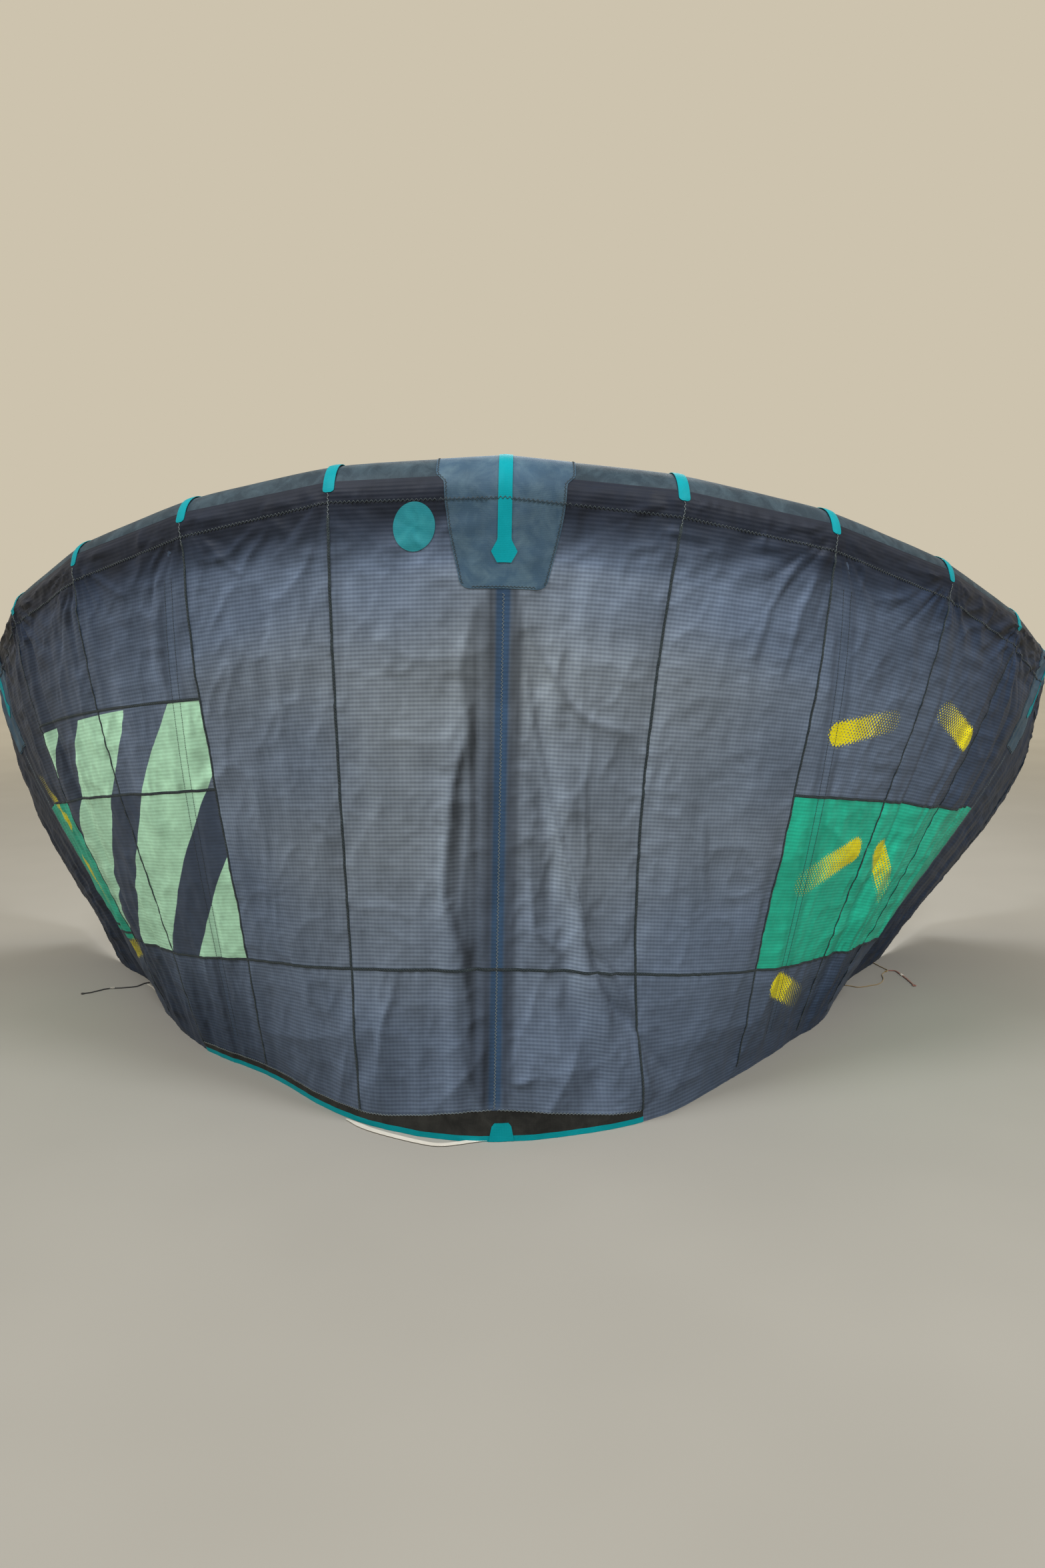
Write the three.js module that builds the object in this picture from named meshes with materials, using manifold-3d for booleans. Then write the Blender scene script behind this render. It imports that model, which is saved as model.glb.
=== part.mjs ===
// Inflatable leading-edge kitesurfing kite, pumped up and standing on its trailing edge.
// Millimetres, +Z up. +X is the kite's right as seen from outside, and +Y runs back towards the
// wing tips. The origin is the middle of the kite's box, on the floor.
//
// The canopy is one surface, canopyPoint(u, t). u counts the joints of the leading-edge tube from
// the centre strut outwards (negative on the left), and t runs down the chord from the seam on
// the tube (0) to the trailing edge (1). Every panel, patch and band is cut from that surface.

import * as THREE from 'three';
import { mergeVertices } from 'three/addons/utils/BufferGeometryUtils.js';
import Module from 'manifold-3d';

const wasm = await Module();
wasm.setup();

// ---------------------------------------------------------------- driving sizes

const CLOTH = 2; // canopy cloth, drawn as a workable sheet
const PATCH = 1.2; // patches, straps, bands and tapes laid on it
const GAP = 0.3; // between pieces that touch
const SIMPLER = 0.1; // how far a cut piece's surface may move as its facets are merged
const TIP = 7; // number of the last joint
const ORIGIN = new THREE.Vector3(95.5, 1050.4, 0); // middle of the box, from the centre foot
const HEART = new THREE.Vector3(0, 1400, 0); // a point inside the curve: outwards is away from it

const COLOURS = {
  navy: 0x434b61,
  slate: 0x2f4c60,
  turquoise: 0x12a3b4,
  green: 0x14b58d,
  mint: 0xaee3c4,
  black: 0x15161a,
  bladder: 0x2c3f63,
  tan: 0xb09a72,
  red: 0xa8322c,
};

// One row a joint of the leading-edge tube, from the left wing tip to the right: the tube's axis
// and radius, the foot of the chord below it, how far the cloth between bulges outwards and sways
// to the right, and the way that the chord's plane faces, in degrees to the right of front.
const JOINTS = [
  { joint: -7, at: [-1745, 2078, 465], radius: 36, foot: [-1590, 1950, 130], bulge: 6, sway: 0, faces: -56 },
  { joint: -6, at: [-1790, 1816, 800], radius: 48, foot: [-1405, 1575, 0], bulge: 20, sway: 0, faces: -48 },
  { joint: -5, at: [-1682, 1444, 1115], radius: 58, foot: [-1220, 1320, 0], bulge: 33, sway: 4, faces: -38 },
  { joint: -4, at: [-1418, 994, 1275], radius: 68, foot: [-1035, 924, 0], bulge: 46, sway: -18, faces: -30 },
  { joint: -3, at: [-1095, 613, 1389], radius: 78, foot: [-849, 646, 0], bulge: 40, sway: -26, faces: -22 },
  { joint: -2, at: [-734, 330, 1468], radius: 86, foot: [-630, 439, 0], bulge: 22, sway: 1, faces: -15 },
  { joint: -1, at: [-353, 149, 1516], radius: 92, foot: [-333, 120, 0], bulge: 11, sway: -9, faces: -8 },
  { joint: 0, at: [40, 96, 1526], radius: 95, foot: [0, 0, 0], bulge: 8, sway: 0, faces: 0 },
  { joint: 1, at: [436, 137, 1491], radius: 92, foot: [372, 111, 0], bulge: 9, sway: -75, faces: 8 },
  { joint: 2, at: [822, 306, 1430], radius: 86, foot: [654, 403, 0], bulge: 22, sway: -4, faces: 15 },
  { joint: 3, at: [1202, 581, 1332], radius: 78, foot: [888, 701, 0], bulge: 31, sway: -24, faces: 22 },
  { joint: 4, at: [1544, 956, 1211], radius: 68, foot: [1020, 874, 0], bulge: 35, sway: -24, faces: 30 },
  { joint: 5, at: [1838, 1406, 1091], radius: 58, foot: [1198, 1263, 0], bulge: 27, sway: -16, faces: 38 },
  { joint: 6, at: [1980, 1808, 815], radius: 48, foot: [1410, 1570, 0], bulge: 0, sway: 0, faces: 48 },
  { joint: 7, at: [1940, 2070, 480], radius: 36, foot: [1640, 1950, 130], bulge: 6, sway: 0, faces: 56 },
];

// The struts: where each stands along the kite, and its radius at the tube and at its foot.
const STRUTS = [
  { name: 'strut_centre', headU: 0, footU: 0, head: 45, foot: 31 },
  { name: 'strut_left_middle', headU: -2.1, footU: -2.4, head: 42, foot: 29 },
  { name: 'strut_right_middle', headU: 2.1, footU: 2.4, head: 42, foot: 29 },
  { name: 'strut_left_outer', headU: -5, footU: -5, head: 38, foot: 26 },
  { name: 'strut_right_outer', headU: 5, footU: 5, head: 38, foot: 26 },
];
const STRUT_SIDES = 10;
const STRUT_HOLDS = { flat: 22, free: 60 }; // the cloth lies flat along a strut for this far
const STRUT_CLEARS = { onJoint: 0.4, acrossFacets: 2 };
const STRUT_MOUTH = 0.35; // share of the first facet below the tube that the strut's head leaves
const STRUT_SADDLE = 0.6; // steps of u, each way, of the tube that its head is cut to

// A pumped-up end is rounded by rings of these scales, this many radii further on.
const ROUNDED_END = [{ scale: 0.82, along: 0.3 }, { scale: 0.45, along: 0.5 }];

// Stations down the chord.
const LEAVES_TUBE = 0.03; // the cloth lies on the tube down to here
const UPPER_SEAM = 0.455;
const rises = (u, until) => THREE.MathUtils.smoothstep(Math.abs(u), 0, until);
const lowerSeam = (u) => 0.73 + (u < 0 ? 0.053 : 0.075) * rises(u, 3);
const bandTop = (u) => 0.951 + 0.029 * rises(u, 1);
const tapeTop = () => 0.991;

// Round the tube, angles go from its top outwards. The canopy lies on two facets of it.
const FACET = Math.PI / 12;
const LAP_FACETS = 2;
const LAP_ANGLE = Math.PI / 2 - LAP_FACETS * FACET; // where the canopy is sewn on
const FINE_FACETS = { from: -3, to: 7 }; // facets outside this stretch are twice as wide
const STRAP_TOP_ROW = -7; // where the straps start, over the top of the tube
const TUBE_CLEARS = 0.4; // between the tube and the canopy on it

// Facet columns between one joint and the next, from the centre out.
const COLUMNS = [8, 3, 4, 3, 3, 2, 2];

// Bands of facet rows down the chord, and the rows where the seams fall.
const ROWS = [
  { until: () => LEAVES_TUBE, count: LAP_FACETS },
  { until: () => UPPER_SEAM, count: 4 },
  { until: lowerSeam, count: 3 },
  { until: bandTop, count: 2 },
  { until: tapeTop, count: 1 },
  { until: () => 1, count: 1 },
];
const [LEAVES_ROW, UPPER_ROW, LOWER_ROW, BAND_ROW, TAPE_ROW, EDGE_ROW] = ROWS.map(
  (_, i) => ROWS.slice(0, i + 1).reduce((sum, { count }) => sum + count, 0),
);
const SEAM_ROW = 0;

// The canopy's panels on each side, from the centre out: between which joints and rows each is
// cut, and its colour on the left and on the right.
const PANELS = [
  { name: 'first_upper', from: 0, to: 1, rows: [SEAM_ROW, LOWER_ROW], left: 'navy', right: 'navy' },
  { name: 'first_lower', from: 0, to: 1, rows: [LOWER_ROW, EDGE_ROW], left: 'navy', right: 'navy' },
  { name: 'second_upper', from: 1, to: 2, rows: [SEAM_ROW, LOWER_ROW], left: 'navy', right: 'navy' },
  { name: 'second_lower', from: 1, to: 2, rows: [LOWER_ROW, EDGE_ROW], left: 'navy', right: 'navy' },
  { name: 'third_top', from: 2, to: 3, rows: [SEAM_ROW, UPPER_ROW], left: 'navy', right: 'navy' },
  { name: 'third_middle', from: 2, to: 3, rows: [UPPER_ROW, LOWER_ROW], left: 'mint', right: 'green' },
  { name: 'third_lower', from: 2, to: 3, rows: [LOWER_ROW, EDGE_ROW], left: 'navy', right: 'navy' },
  { name: 'fourth_top', from: 3, to: 4, rows: [SEAM_ROW, UPPER_ROW], left: 'navy', right: 'navy' },
  { name: 'fourth_middle', from: 3, to: 4, rows: [UPPER_ROW, LOWER_ROW], left: 'mint', right: 'green' },
  { name: 'fourth_lower', from: 3, to: 4, rows: [LOWER_ROW, EDGE_ROW], left: 'navy', right: 'navy' },
  { name: 'outer_top', from: 4, to: 5, rows: [SEAM_ROW, UPPER_ROW], left: 'navy', right: 'navy' },
  { name: 'outer_lower', from: 4, to: 5, rows: [UPPER_ROW, EDGE_ROW], left: 'green', right: 'green' },
  { name: 'tip', from: 5, to: 7, rows: [SEAM_ROW, EDGE_ROW], left: 'navy', right: 'navy' },
];

// Main folds, each along points (u, t); its depth is outwards where positive.
const FOLDS = [
  { width: 34, depth: -20, path: [[-0.16, 0.2], [-0.15, 0.35], [-0.22, 0.55], [-0.17, 0.75], [-0.16, 0.97]] },
  { width: 34, depth: 16, path: [[-0.27, 0.3], [-0.32, 0.6], [-0.28, 0.8], [-0.27, 0.97]] },
  { width: 40, depth: -18, path: [[0.14, 0.22], [0.3, 0.42], [0.42, 0.66], [0.62, 0.85], [0.82, 0.97]] },
  { width: 44, depth: 14, path: [[0.3, 0.3], [0.46, 0.5], [0.6, 0.7], [0.8, 0.86], [1.05, 0.97]] },
];
const FOLD_ACROSS = 400; // millimetres that one step of u is worth to a fold
const FOLD_DOWN = 1500; // and one step of t

// The right trailing edge is turned under from here to here, and lies flat on the floor.
const TUCK = { from: 1, to: 5, ramp: 0.4, least: 8, length: 60 };

// The tube is sewn up in three lengths a side.
const TUBE_LENGTHS = [
  { name: 'inner', from: 0, to: 2 },
  { name: 'middle', from: 2, to: 4 },
  { name: 'outer', from: 4, to: TIP },
];

// Straps over the tube at its joints, down to this row of facets.
const JOINT_STRAPS = [
  { joint: 1, lastRow: SEAM_ROW },
  { joint: 2, lastRow: SEAM_ROW },
  { joint: 3, lastRow: SEAM_ROW + 1 },
  { joint: 4, lastRow: SEAM_ROW + 2 },
];
const JOINT_STRAP_WIDTH = 28;

// A strut's strap runs on over a sailcloth patch and ends in a six-sided piece.
const STRUT_STRAP = { width: 31, end: 29 };
const STRUT_PATCHES = [
  { name: 'centre', u: 0, reach: 0.125, patchFoot: 0.166, strapFoot: 0.112, headWidth: 155, footWidth: 88 },
  { name: 'left_outer', u: -5, reach: 0.5, patchFoot: 0.28, strapFoot: 0.165, headWidth: 118, footWidth: 70 },
  { name: 'right_outer', u: 5, reach: 0.5, patchFoot: 0.28, strapFoot: 0.165, headWidth: 118, footWidth: 70 },
];
const PATCH_CORNER = 22;
const PATCH_SPREADS = 250; // its sides run out to the head's width over this height

const ROUND_PATCH = { u: -0.5, t: 0.071, radius: 52, sides: 24 };
const EDGE_PATCH = { u: 0.05, footWidth: 62, headWidth: 43, height: 46 };

// The trailing edge's black band and turquoise tape, on each side of the centre.
const EDGE_TRIM = [
  { side: 'left', from: -3, to: 0 },
  { side: 'right', from: 0, to: 1 },
];

// Cords that lie on the floor, by the points that each passes.
const CORD_SIDES = 8;
const CORDS = [
  {
    name: 'pigtail_left',
    diameter: 6,
    colour: 'black',
    route: [
      [-1320, 267], [-1336, 254], [-1352, 222], [-1392, 207],
      [-1443, 198], [-1485, 158], [-1507, 146],
    ],
  },
  {
    name: 'bridle_right',
    diameter: 3,
    colour: 'tan',
    route: [
      [1086.9, 171.3], [1110, 160], [1126, 148], [1168, 163], [1210, 187], [1238, 234],
      [1251, 291], [1270, 323], [1287, 344], [1276, 390], [1264.7, 439.8],
    ],
  },
  {
    name: 'pigtail_right',
    diameter: 6,
    colour: 'red',
    route: [[1289.6, 344], [1312, 336], [1317, 297], [1321, 246], [1322, 165]],
  },
];

// ---------------------------------------------------------------- sections at the joints

const mix = (a, b, f) => a.clone().lerp(b, f);

const rowAt = (joint) => JOINTS[TIP + THREE.MathUtils.clamp(joint, -TIP, TIP)];
const axisAt = (joint) => new THREE.Vector3(...rowAt(joint).at);

// The ring round the tube at a joint, and the chord curve that hangs from it. The chord's plane
// may cut the tube askew, and the ring is that much longer there.
function makeSection(joint) {
  const { radius, foot: footPoint, bulge, sway, faces } = rowAt(joint);
  const turn = THREE.MathUtils.degToRad(faces);
  const out = new THREE.Vector3(Math.sin(turn), -Math.cos(turn), 0);
  const across = new THREE.Vector3(Math.cos(turn), Math.sin(turn), 0);
  const axis = axisAt(joint);
  const foot = new THREE.Vector3(...footPoint);
  const chord = foot.clone().sub(axis).normalize();
  const down = chord.clone().projectOnPlane(out).normalize();
  const along = axisAt(joint + 1).sub(axisAt(joint - 1)).normalize();
  const askew = 1 / out.dot(out.clone().projectOnPlane(along).normalize());

  const leaves = axis.clone().addScaledVector(out, radius * askew);
  const third = foot.distanceTo(leaves) / 3;
  const belly = (point) => point.addScaledVector(out, bulge).addScaledVector(across, sway);
  const curve = new THREE.CubicBezierCurve3(
    leaves,
    belly(leaves.clone().addScaledVector(down, third)),
    belly(foot.clone().addScaledVector(chord, -third)),
    foot,
  );
  return {
    ring: (angle, offset = 0) => axis.clone()
      .addScaledVector(down, -Math.cos(angle) * (radius + offset))
      .addScaledVector(out, Math.sin(angle) * (radius * askew + offset)),
    below: (f) => curve.getPointAt(f),
  };
}

const SECTIONS = new Map(JOINTS.map(({ joint }) => [joint, makeSection(joint)]));
const section = (joint) => SECTIONS.get(THREE.MathUtils.clamp(joint, -TIP, TIP));

function sectionPoint(joint, t) {
  if (t > LEAVES_TUBE) return section(joint).below(Math.min((t - LEAVES_TUBE) / (1 - LEAVES_TUBE), 1));
  return section(joint).ring(LAP_ANGLE + LAP_FACETS * FACET * (t / LEAVES_TUBE));
}

// The joint at or before a place, and how far it is on to the next.
function between(u) {
  const joint = THREE.MathUtils.clamp(Math.floor(u), -TIP, TIP - 1);
  return { joint, f: u - joint };
}

// Millimetres that one step of u is worth on the tube.
const tubeStep = (u) => {
  const { joint } = between(u);
  return axisAt(joint).distanceTo(axisAt(joint + 1));
};

// ---------------------------------------------------------------- the canopy surface

// How far a smooth curve through four values stands off the straight line between the middle two.
function bow(a, b, c, d, f) {
  const start = (c - a) / 2 - (c - b);
  const end = (d - b) / 2 - (c - b);
  return start * f * (1 - f) ** 2 - end * f * f * (1 - f);
}

// Straight between joints on the tube, and a smooth curve through them lower down.
function plainPoint(u, t) {
  const { joint, f } = between(u);
  const [a, b, c, d] = [-1, 0, 1, 2].map((step) => sectionPoint(joint + step, t));
  const point = mix(b, c, f);
  const share = THREE.MathUtils.smoothstep(t, 0.05, 0.28);
  for (const axis of ['x', 'y', 'z']) {
    point[axis] += share * bow(a[axis], b[axis], c[axis], d[axis], f);
  }
  point.z = Math.max(point.z, 0);
  return point;
}

// The way out of the cloth. At the foot it is level, so that every layer stands on the floor.
function outwards(u, t) {
  const across = plainPoint(Math.min(u + 0.02, TIP), t).sub(plainPoint(Math.max(u - 0.02, -TIP), t));
  const down = plainPoint(u, Math.min(t + 0.01, 1)).sub(plainPoint(u, t - 0.01));
  const normal = down.cross(across).normalize();
  if (normal.dot(plainPoint(u, t).sub(HEART)) < 0) normal.negate();
  normal.z *= 1 - THREE.MathUtils.smoothstep(t, 0.9, 1);
  return normal.normalize();
}

// How near a place is to a fold's path, and how far along the path that is.
function alongFold(path, u, t) {
  const scaled = path.map(([a, b]) => new THREE.Vector2(a * FOLD_ACROSS, b * FOLD_DOWN));
  const here = new THREE.Vector2(u * FOLD_ACROSS, t * FOLD_DOWN);
  let nearest = { distance: Infinity, along: 0 };
  for (let i = 0; i + 1 < scaled.length; i += 1) {
    const run = scaled[i + 1].clone().sub(scaled[i]);
    const f = THREE.MathUtils.clamp(here.clone().sub(scaled[i]).dot(run) / run.lengthSq(), 0, 1);
    const distance = here.distanceTo(scaled[i].clone().addScaledVector(run, f));
    if (distance < nearest.distance) nearest = { distance, along: (i + f) / (scaled.length - 1) };
  }
  return nearest;
}

// The cloth is sewn flat along each strut, so folds fade out there.
function freeOfStruts(u, t) {
  const away = STRUTS.map(({ headU, footU }) => Math.abs(u - THREE.MathUtils.lerp(headU, footU, t)));
  return THREE.MathUtils.smoothstep(Math.min(...away) * FOLD_ACROSS, STRUT_HOLDS.flat, STRUT_HOLDS.free);
}

function foldHeight(u, t) {
  let height = 0;
  for (const { path, width, depth } of FOLDS) {
    const { distance, along } = alongFold(path, u, t);
    height += depth * Math.sqrt(Math.sin(Math.PI * along)) * Math.exp(-((distance / width) ** 2));
  }
  return height * freeOfStruts(u, t);
}

function canopyPoint(u, t, offset = 0) {
  const out = outwards(u, t).multiplyScalar(offset + foldHeight(u, t));
  return plainPoint(u, t).add(out).sub(ORIGIN);
}

function tubePoint(u, angle, offset) {
  const { joint, f } = between(u);
  return mix(section(joint).ring(angle, offset), section(joint + 1).ring(angle, offset), f).sub(ORIGIN);
}

// ---------------------------------------------------------------- closed bodies

// A body from its vertices and triangles, turned so that its faces point out.
function toGeometry(vertices, triangles) {
  let volume = 0;
  for (const [a, b, c] of triangles) {
    volume += vertices[a].dot(vertices[b].clone().cross(vertices[c]));
  }
  const geometry = new THREE.BufferGeometry();
  const positions = vertices.flatMap((v) => v.toArray());
  geometry.setAttribute('position', new THREE.Float32BufferAttribute(positions, 3));
  geometry.setIndex(triangles.flatMap(([a, b, c]) => (volume < 0 ? [a, c, b] : [a, b, c])));
  return geometry;
}

// A sheet between two grids of points of the same size.
function sheet(front, back) {
  const rows = front.length;
  const columns = front[0].length;
  const at = (side, i, j) => (side * rows + i) * columns + j;
  const triangles = [];
  const quad = (a, b, c, d) => triangles.push([a, b, c], [a, c, d]);
  for (let i = 0; i + 1 < rows; i += 1) {
    for (let j = 0; j + 1 < columns; j += 1) {
      quad(at(0, i, j), at(0, i + 1, j), at(0, i + 1, j + 1), at(0, i, j + 1));
      quad(at(1, i + 1, j + 1), at(1, i + 1, j), at(1, i, j), at(1, i, j + 1));
    }
  }
  const side = (a, b) => quad(at(0, ...b), at(0, ...a), at(1, ...a), at(1, ...b));
  for (let i = 0; i + 1 < rows; i += 1) {
    side([i, 0], [i + 1, 0]);
    side([i + 1, columns - 1], [i, columns - 1]);
  }
  for (let j = 0; j + 1 < columns; j += 1) {
    side([0, j + 1], [0, j]);
    side([rows - 1, j], [rows - 1, j + 1]);
  }
  return toGeometry([...front.flat(), ...back.flat()], triangles);
}

// A body through rings of points, closed by a flat face at each end.
function tube(rings) {
  const sides = rings[0].length;
  const triangles = [];
  for (let i = 0; i + 1 < rings.length; i += 1) {
    for (let j = 0; j < sides; j += 1) {
      const next = (j + 1) % sides;
      const [a, b] = [i * sides, (i + 1) * sides];
      triangles.push([a + j, a + next, b + next], [a + j, b + next, b + j]);
    }
  }
  const last = (rings.length - 1) * sides;
  for (let j = 1; j + 1 < sides; j += 1) {
    triangles.push([0, j + 1, j], [last, last + j, last + j + 1]);
  }
  return toGeometry(rings.flat(), triangles);
}

// Rings that round off a pumped-up end, going on from its last ring.
function roundedEnd(ring, direction, radius) {
  const centre = ring.reduce((sum, point) => sum.add(point), new THREE.Vector3()).divideScalar(ring.length);
  return ROUNDED_END.map(({ scale, along }) => ring.map(
    (point) => mix(centre, point, scale).addScaledVector(direction, along * radius),
  ));
}

function toManifold(geometry) {
  const bare = geometry.clone();
  bare.deleteAttribute('normal');
  bare.deleteAttribute('uv');
  const merged = mergeVertices(bare, 1e-4);
  return new wasm.Manifold(new wasm.Mesh({
    numProp: 3,
    vertProperties: merged.attributes.position.array,
    triVerts: new Uint32Array(merged.index.array),
  }));
}

function fromManifold(solid) {
  const { vertProperties, triVerts } = solid.getMesh();
  const geometry = new THREE.BufferGeometry();
  geometry.setAttribute('position', new THREE.BufferAttribute(vertProperties, 3));
  geometry.setIndex(new THREE.BufferAttribute(triVerts, 1));
  return geometry;
}

// Cut a layer of cloth to an outline that is laid on the canopy at (u, t), x across and y up.
function trim(geometry, outline, u, t) {
  const reach = 400;
  const settings = { depth: 2 * reach, curveSegments: 3, bevelEnabled: false };
  const prism = new THREE.ExtrudeGeometry(outline, settings);
  const out = outwards(u, t);
  const up = plainPoint(u, t - 0.02).sub(plainPoint(u, t)).projectOnPlane(out).normalize();
  const place = new THREE.Matrix4().makeBasis(up.clone().cross(out), up, out);
  prism.translate(0, 0, -reach).applyMatrix4(place.setPosition(canopyPoint(u, t)));
  return fromManifold(toManifold(geometry).intersect(toManifold(prism)).simplify(SIMPLER));
}

// ---------------------------------------------------------------- the facet grid

// The chord station of a row of facets. Rows above the seam go on round the tube.
function station(row, u) {
  if (row <= 0) return (row * LEAVES_TUBE) / LAP_FACETS;
  let above = 0;
  let passed = 0;
  for (const { until, count } of ROWS) {
    if (row <= passed + count) return above + ((until(u) - above) * (row - passed)) / count;
    above = until(u);
    passed += count;
  }
  return 1;
}

const LINES = [TIP];
COLUMNS.forEach((count, joint) => {
  for (let i = 0; i < count; i += 1) LINES.push(joint + i / count);
});
const columnsBetween = (from, to) => [...LINES, ...LINES.filter((u) => u > 0).map((u) => -u)]
  .filter((u) => u >= from && u <= to)
  .sort((a, b) => a - b);

// Each edge of a layer stands back from its seam by half a gap.
const standBack = (i, last) => (i === 0 ? GAP / 2 : i === last ? -GAP / 2 : 0);

// How high the inner face of a layer lies, over the tube and over the canopy on it.
const ON_KITE = (row) => (row < SEAM_ROW ? GAP : CLOTH + GAP);
const ON_PATCH = (row) => ON_KITE(row) + PATCH + GAP;

// A layer of cloth on the canopy's facets, in columns of u and between two rows.
function layer({ columns, rows: [top, bottom], base = () => 0, thickness = PATCH, tucked = false }) {
  const count = bottom - top;
  const rows = Array.from({ length: count + 1 }, (_, i) => top + i);
  const grid = (share) => rows.map((row, i) => columns.map((u, j) => {
    const across = standBack(j, columns.length - 1) / tubeStep(u);
    const down = row === EDGE_ROW ? 0 : standBack(i, count) / FOLD_DOWN;
    return canopyPoint(u + across, station(row, u) + down, base(row) + share * thickness);
  }));
  const [back, front] = [grid(0), grid(1)];
  if (tucked) tuckUnder(columns, back, front);
  return sheet(front, back);
}

// Turn the foot of a panel inwards, flat on the floor.
function tuckUnder(columns, back, front) {
  const { from, to, ramp, least, length } = TUCK;
  const feet = columns.map((u, j) => {
    const share = Math.min(1, (u - from) / ramp, (to - u) / ramp);
    const inwards = outwards(u, 1).multiplyScalar(-Math.max(least, length * share));
    return back.at(-1)[j].clone().add(inwards);
  });
  back.at(-1).forEach((point) => point.setZ(CLOTH));
  front.push(feet);
  back.push(feet.map((point) => point.clone().setZ(CLOTH)));
}

// ---------------------------------------------------------------- pieces

const kite = new THREE.Group();

function add(name, geometry, colour, roughness = 0.75) {
  const material = new THREE.MeshStandardMaterial({ color: COLOURS[colour], roughness, metalness: 0 });
  const mesh = new THREE.Mesh(geometry, material);
  mesh.name = name;
  kite.add(mesh);
}

const SIDES = [{ side: 'left', sign: -1 }, { side: 'right', sign: 1 }];
const span = (sign, from, to) => (sign < 0 ? [-to, -from] : [from, to]);

function canopyPanels() {
  for (const { side, sign } of SIDES) {
    for (const { name, from, to, rows, [side]: colour } of PANELS) {
      const tucked = rows[1] === EDGE_ROW && sign > 0 && from >= TUCK.from && to <= TUCK.to;
      const columns = columnsBetween(...span(sign, from, to));
      add(`canopy_${side}_${name}`, layer({ columns, rows, thickness: CLOTH, tucked }), colour);
    }
  }
}

const RING_ANGLES = [];
for (let facet = FINE_FACETS.from; facet <= FINE_FACETS.to; facet += 1) RING_ANGLES.push(facet * FACET);
for (let facet = FINE_FACETS.to + 2; facet < FINE_FACETS.from + 24; facet += 2) {
  RING_ANGLES.push(facet * FACET);
}
const tubeRing = (u, offset) => RING_ANGLES.map((angle) => tubePoint(u, angle, offset));

function leadingEdgeTube() {
  for (const { side, sign } of SIDES) {
    for (const { name, from, to } of TUBE_LENGTHS) {
      const columns = columnsBetween(...span(sign, from, to)).map((u) => u * sign).sort((a, b) => a - b);
      const rings = columns.map((u, j) => {
        const inset = to === TIP && u === TIP ? 0 : standBack(j, columns.length - 1) / tubeStep(sign * u);
        return tubeRing(sign * (u + inset), -TUBE_CLEARS);
      });
      if (to === TIP) {
        const direction = axisAt(sign * TIP).sub(axisAt(sign * (TIP - 1))).normalize();
        rings.push(...roundedEnd(rings.at(-1), direction, rowAt(sign * TIP).radius));
      }
      add(`leading_edge_${side}_${name}`, tube(rings), 'slate', 0.7);
    }
  }
}

// A strut's ring under the canopy at a row of facets, one corner of it towards the cloth.
function strutRing({ headU, footU, head, foot }, row) {
  const t = station(row, headU);
  const u = THREE.MathUtils.lerp(headU, footU, t);
  const radius = THREE.MathUtils.lerp(head, foot, t);
  const clear = headU === footU ? STRUT_CLEARS.onJoint : STRUT_CLEARS.acrossFacets;
  const out = outwards(u, t);
  const down = canopyPoint(u, t + 0.01).sub(canopyPoint(u, t - 0.01)).normalize();
  const across = down.cross(out).normalize();
  const centre = canopyPoint(u, t, -radius - clear);
  return Array.from({ length: STRUT_SIDES }, (_, i) => {
    const angle = (2 * Math.PI * i) / STRUT_SIDES;
    return centre.clone()
      .addScaledVector(out, radius * Math.cos(angle))
      .addScaledVector(across, radius * Math.sin(angle));
  });
}

// A stretch of the tube, fattened by the gap, to cut a strut's head to.
function saddle(u) {
  const columns = [u - STRUT_SADDLE, ...columnsBetween(u - STRUT_SADDLE, u + STRUT_SADDLE), u + STRUT_SADDLE];
  return tube(columns.map((column) => tubeRing(column, GAP - TUBE_CLEARS)));
}

function struts() {
  for (const strut of STRUTS) {
    const rings = [];
    for (let row = LEAVES_ROW; row <= BAND_ROW; row += 1) rings.push(strutRing(strut, row));
    rings[0] = rings[0].map((point, i) => mix(point, rings[1][i], STRUT_MOUTH));
    const direction = rings.at(-1)[0].clone().sub(rings.at(-2)[0]).normalize();
    rings.push(...roundedEnd(rings.at(-1), direction, strut.foot));
    const whole = toManifold(tube(rings));
    const pieces = whole.subtract(toManifold(saddle(strut.headU))).decompose();
    pieces.sort((a, b) => b.volume() - a.volume());
    add(strut.name, fromManifold(pieces[0].simplify(SIMPLER)), 'bladder', 0.6);
  }
}

function jointStraps() {
  for (const { side, sign } of SIDES) {
    for (const { joint, lastRow } of JOINT_STRAPS) {
      const u = sign * joint;
      const half = JOINT_STRAP_WIDTH / 2;
      const columns = [u - half / tubeStep(u - 0.5), u, u + half / tubeStep(u)];
      const strap = layer({ columns, rows: [STRAP_TOP_ROW, lastRow], base: ON_KITE });
      add(`strap_${side}_${joint}`, strap, 'turquoise');
    }
  }
}

// A strap's outline, from its six-sided end up over the tube.
function strapOutline({ width, end }) {
  const height = end * Math.cos(Math.PI / 6);
  const half = [[width / 2, 400], [width / 2, height], [end, 0], [width / 2, -height]];
  const mirrored = [...half].reverse().map(([x, y]) => [-x, y]);
  return new THREE.Shape([...half, ...mirrored].map(([x, y]) => new THREE.Vector2(x, y)));
}

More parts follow.
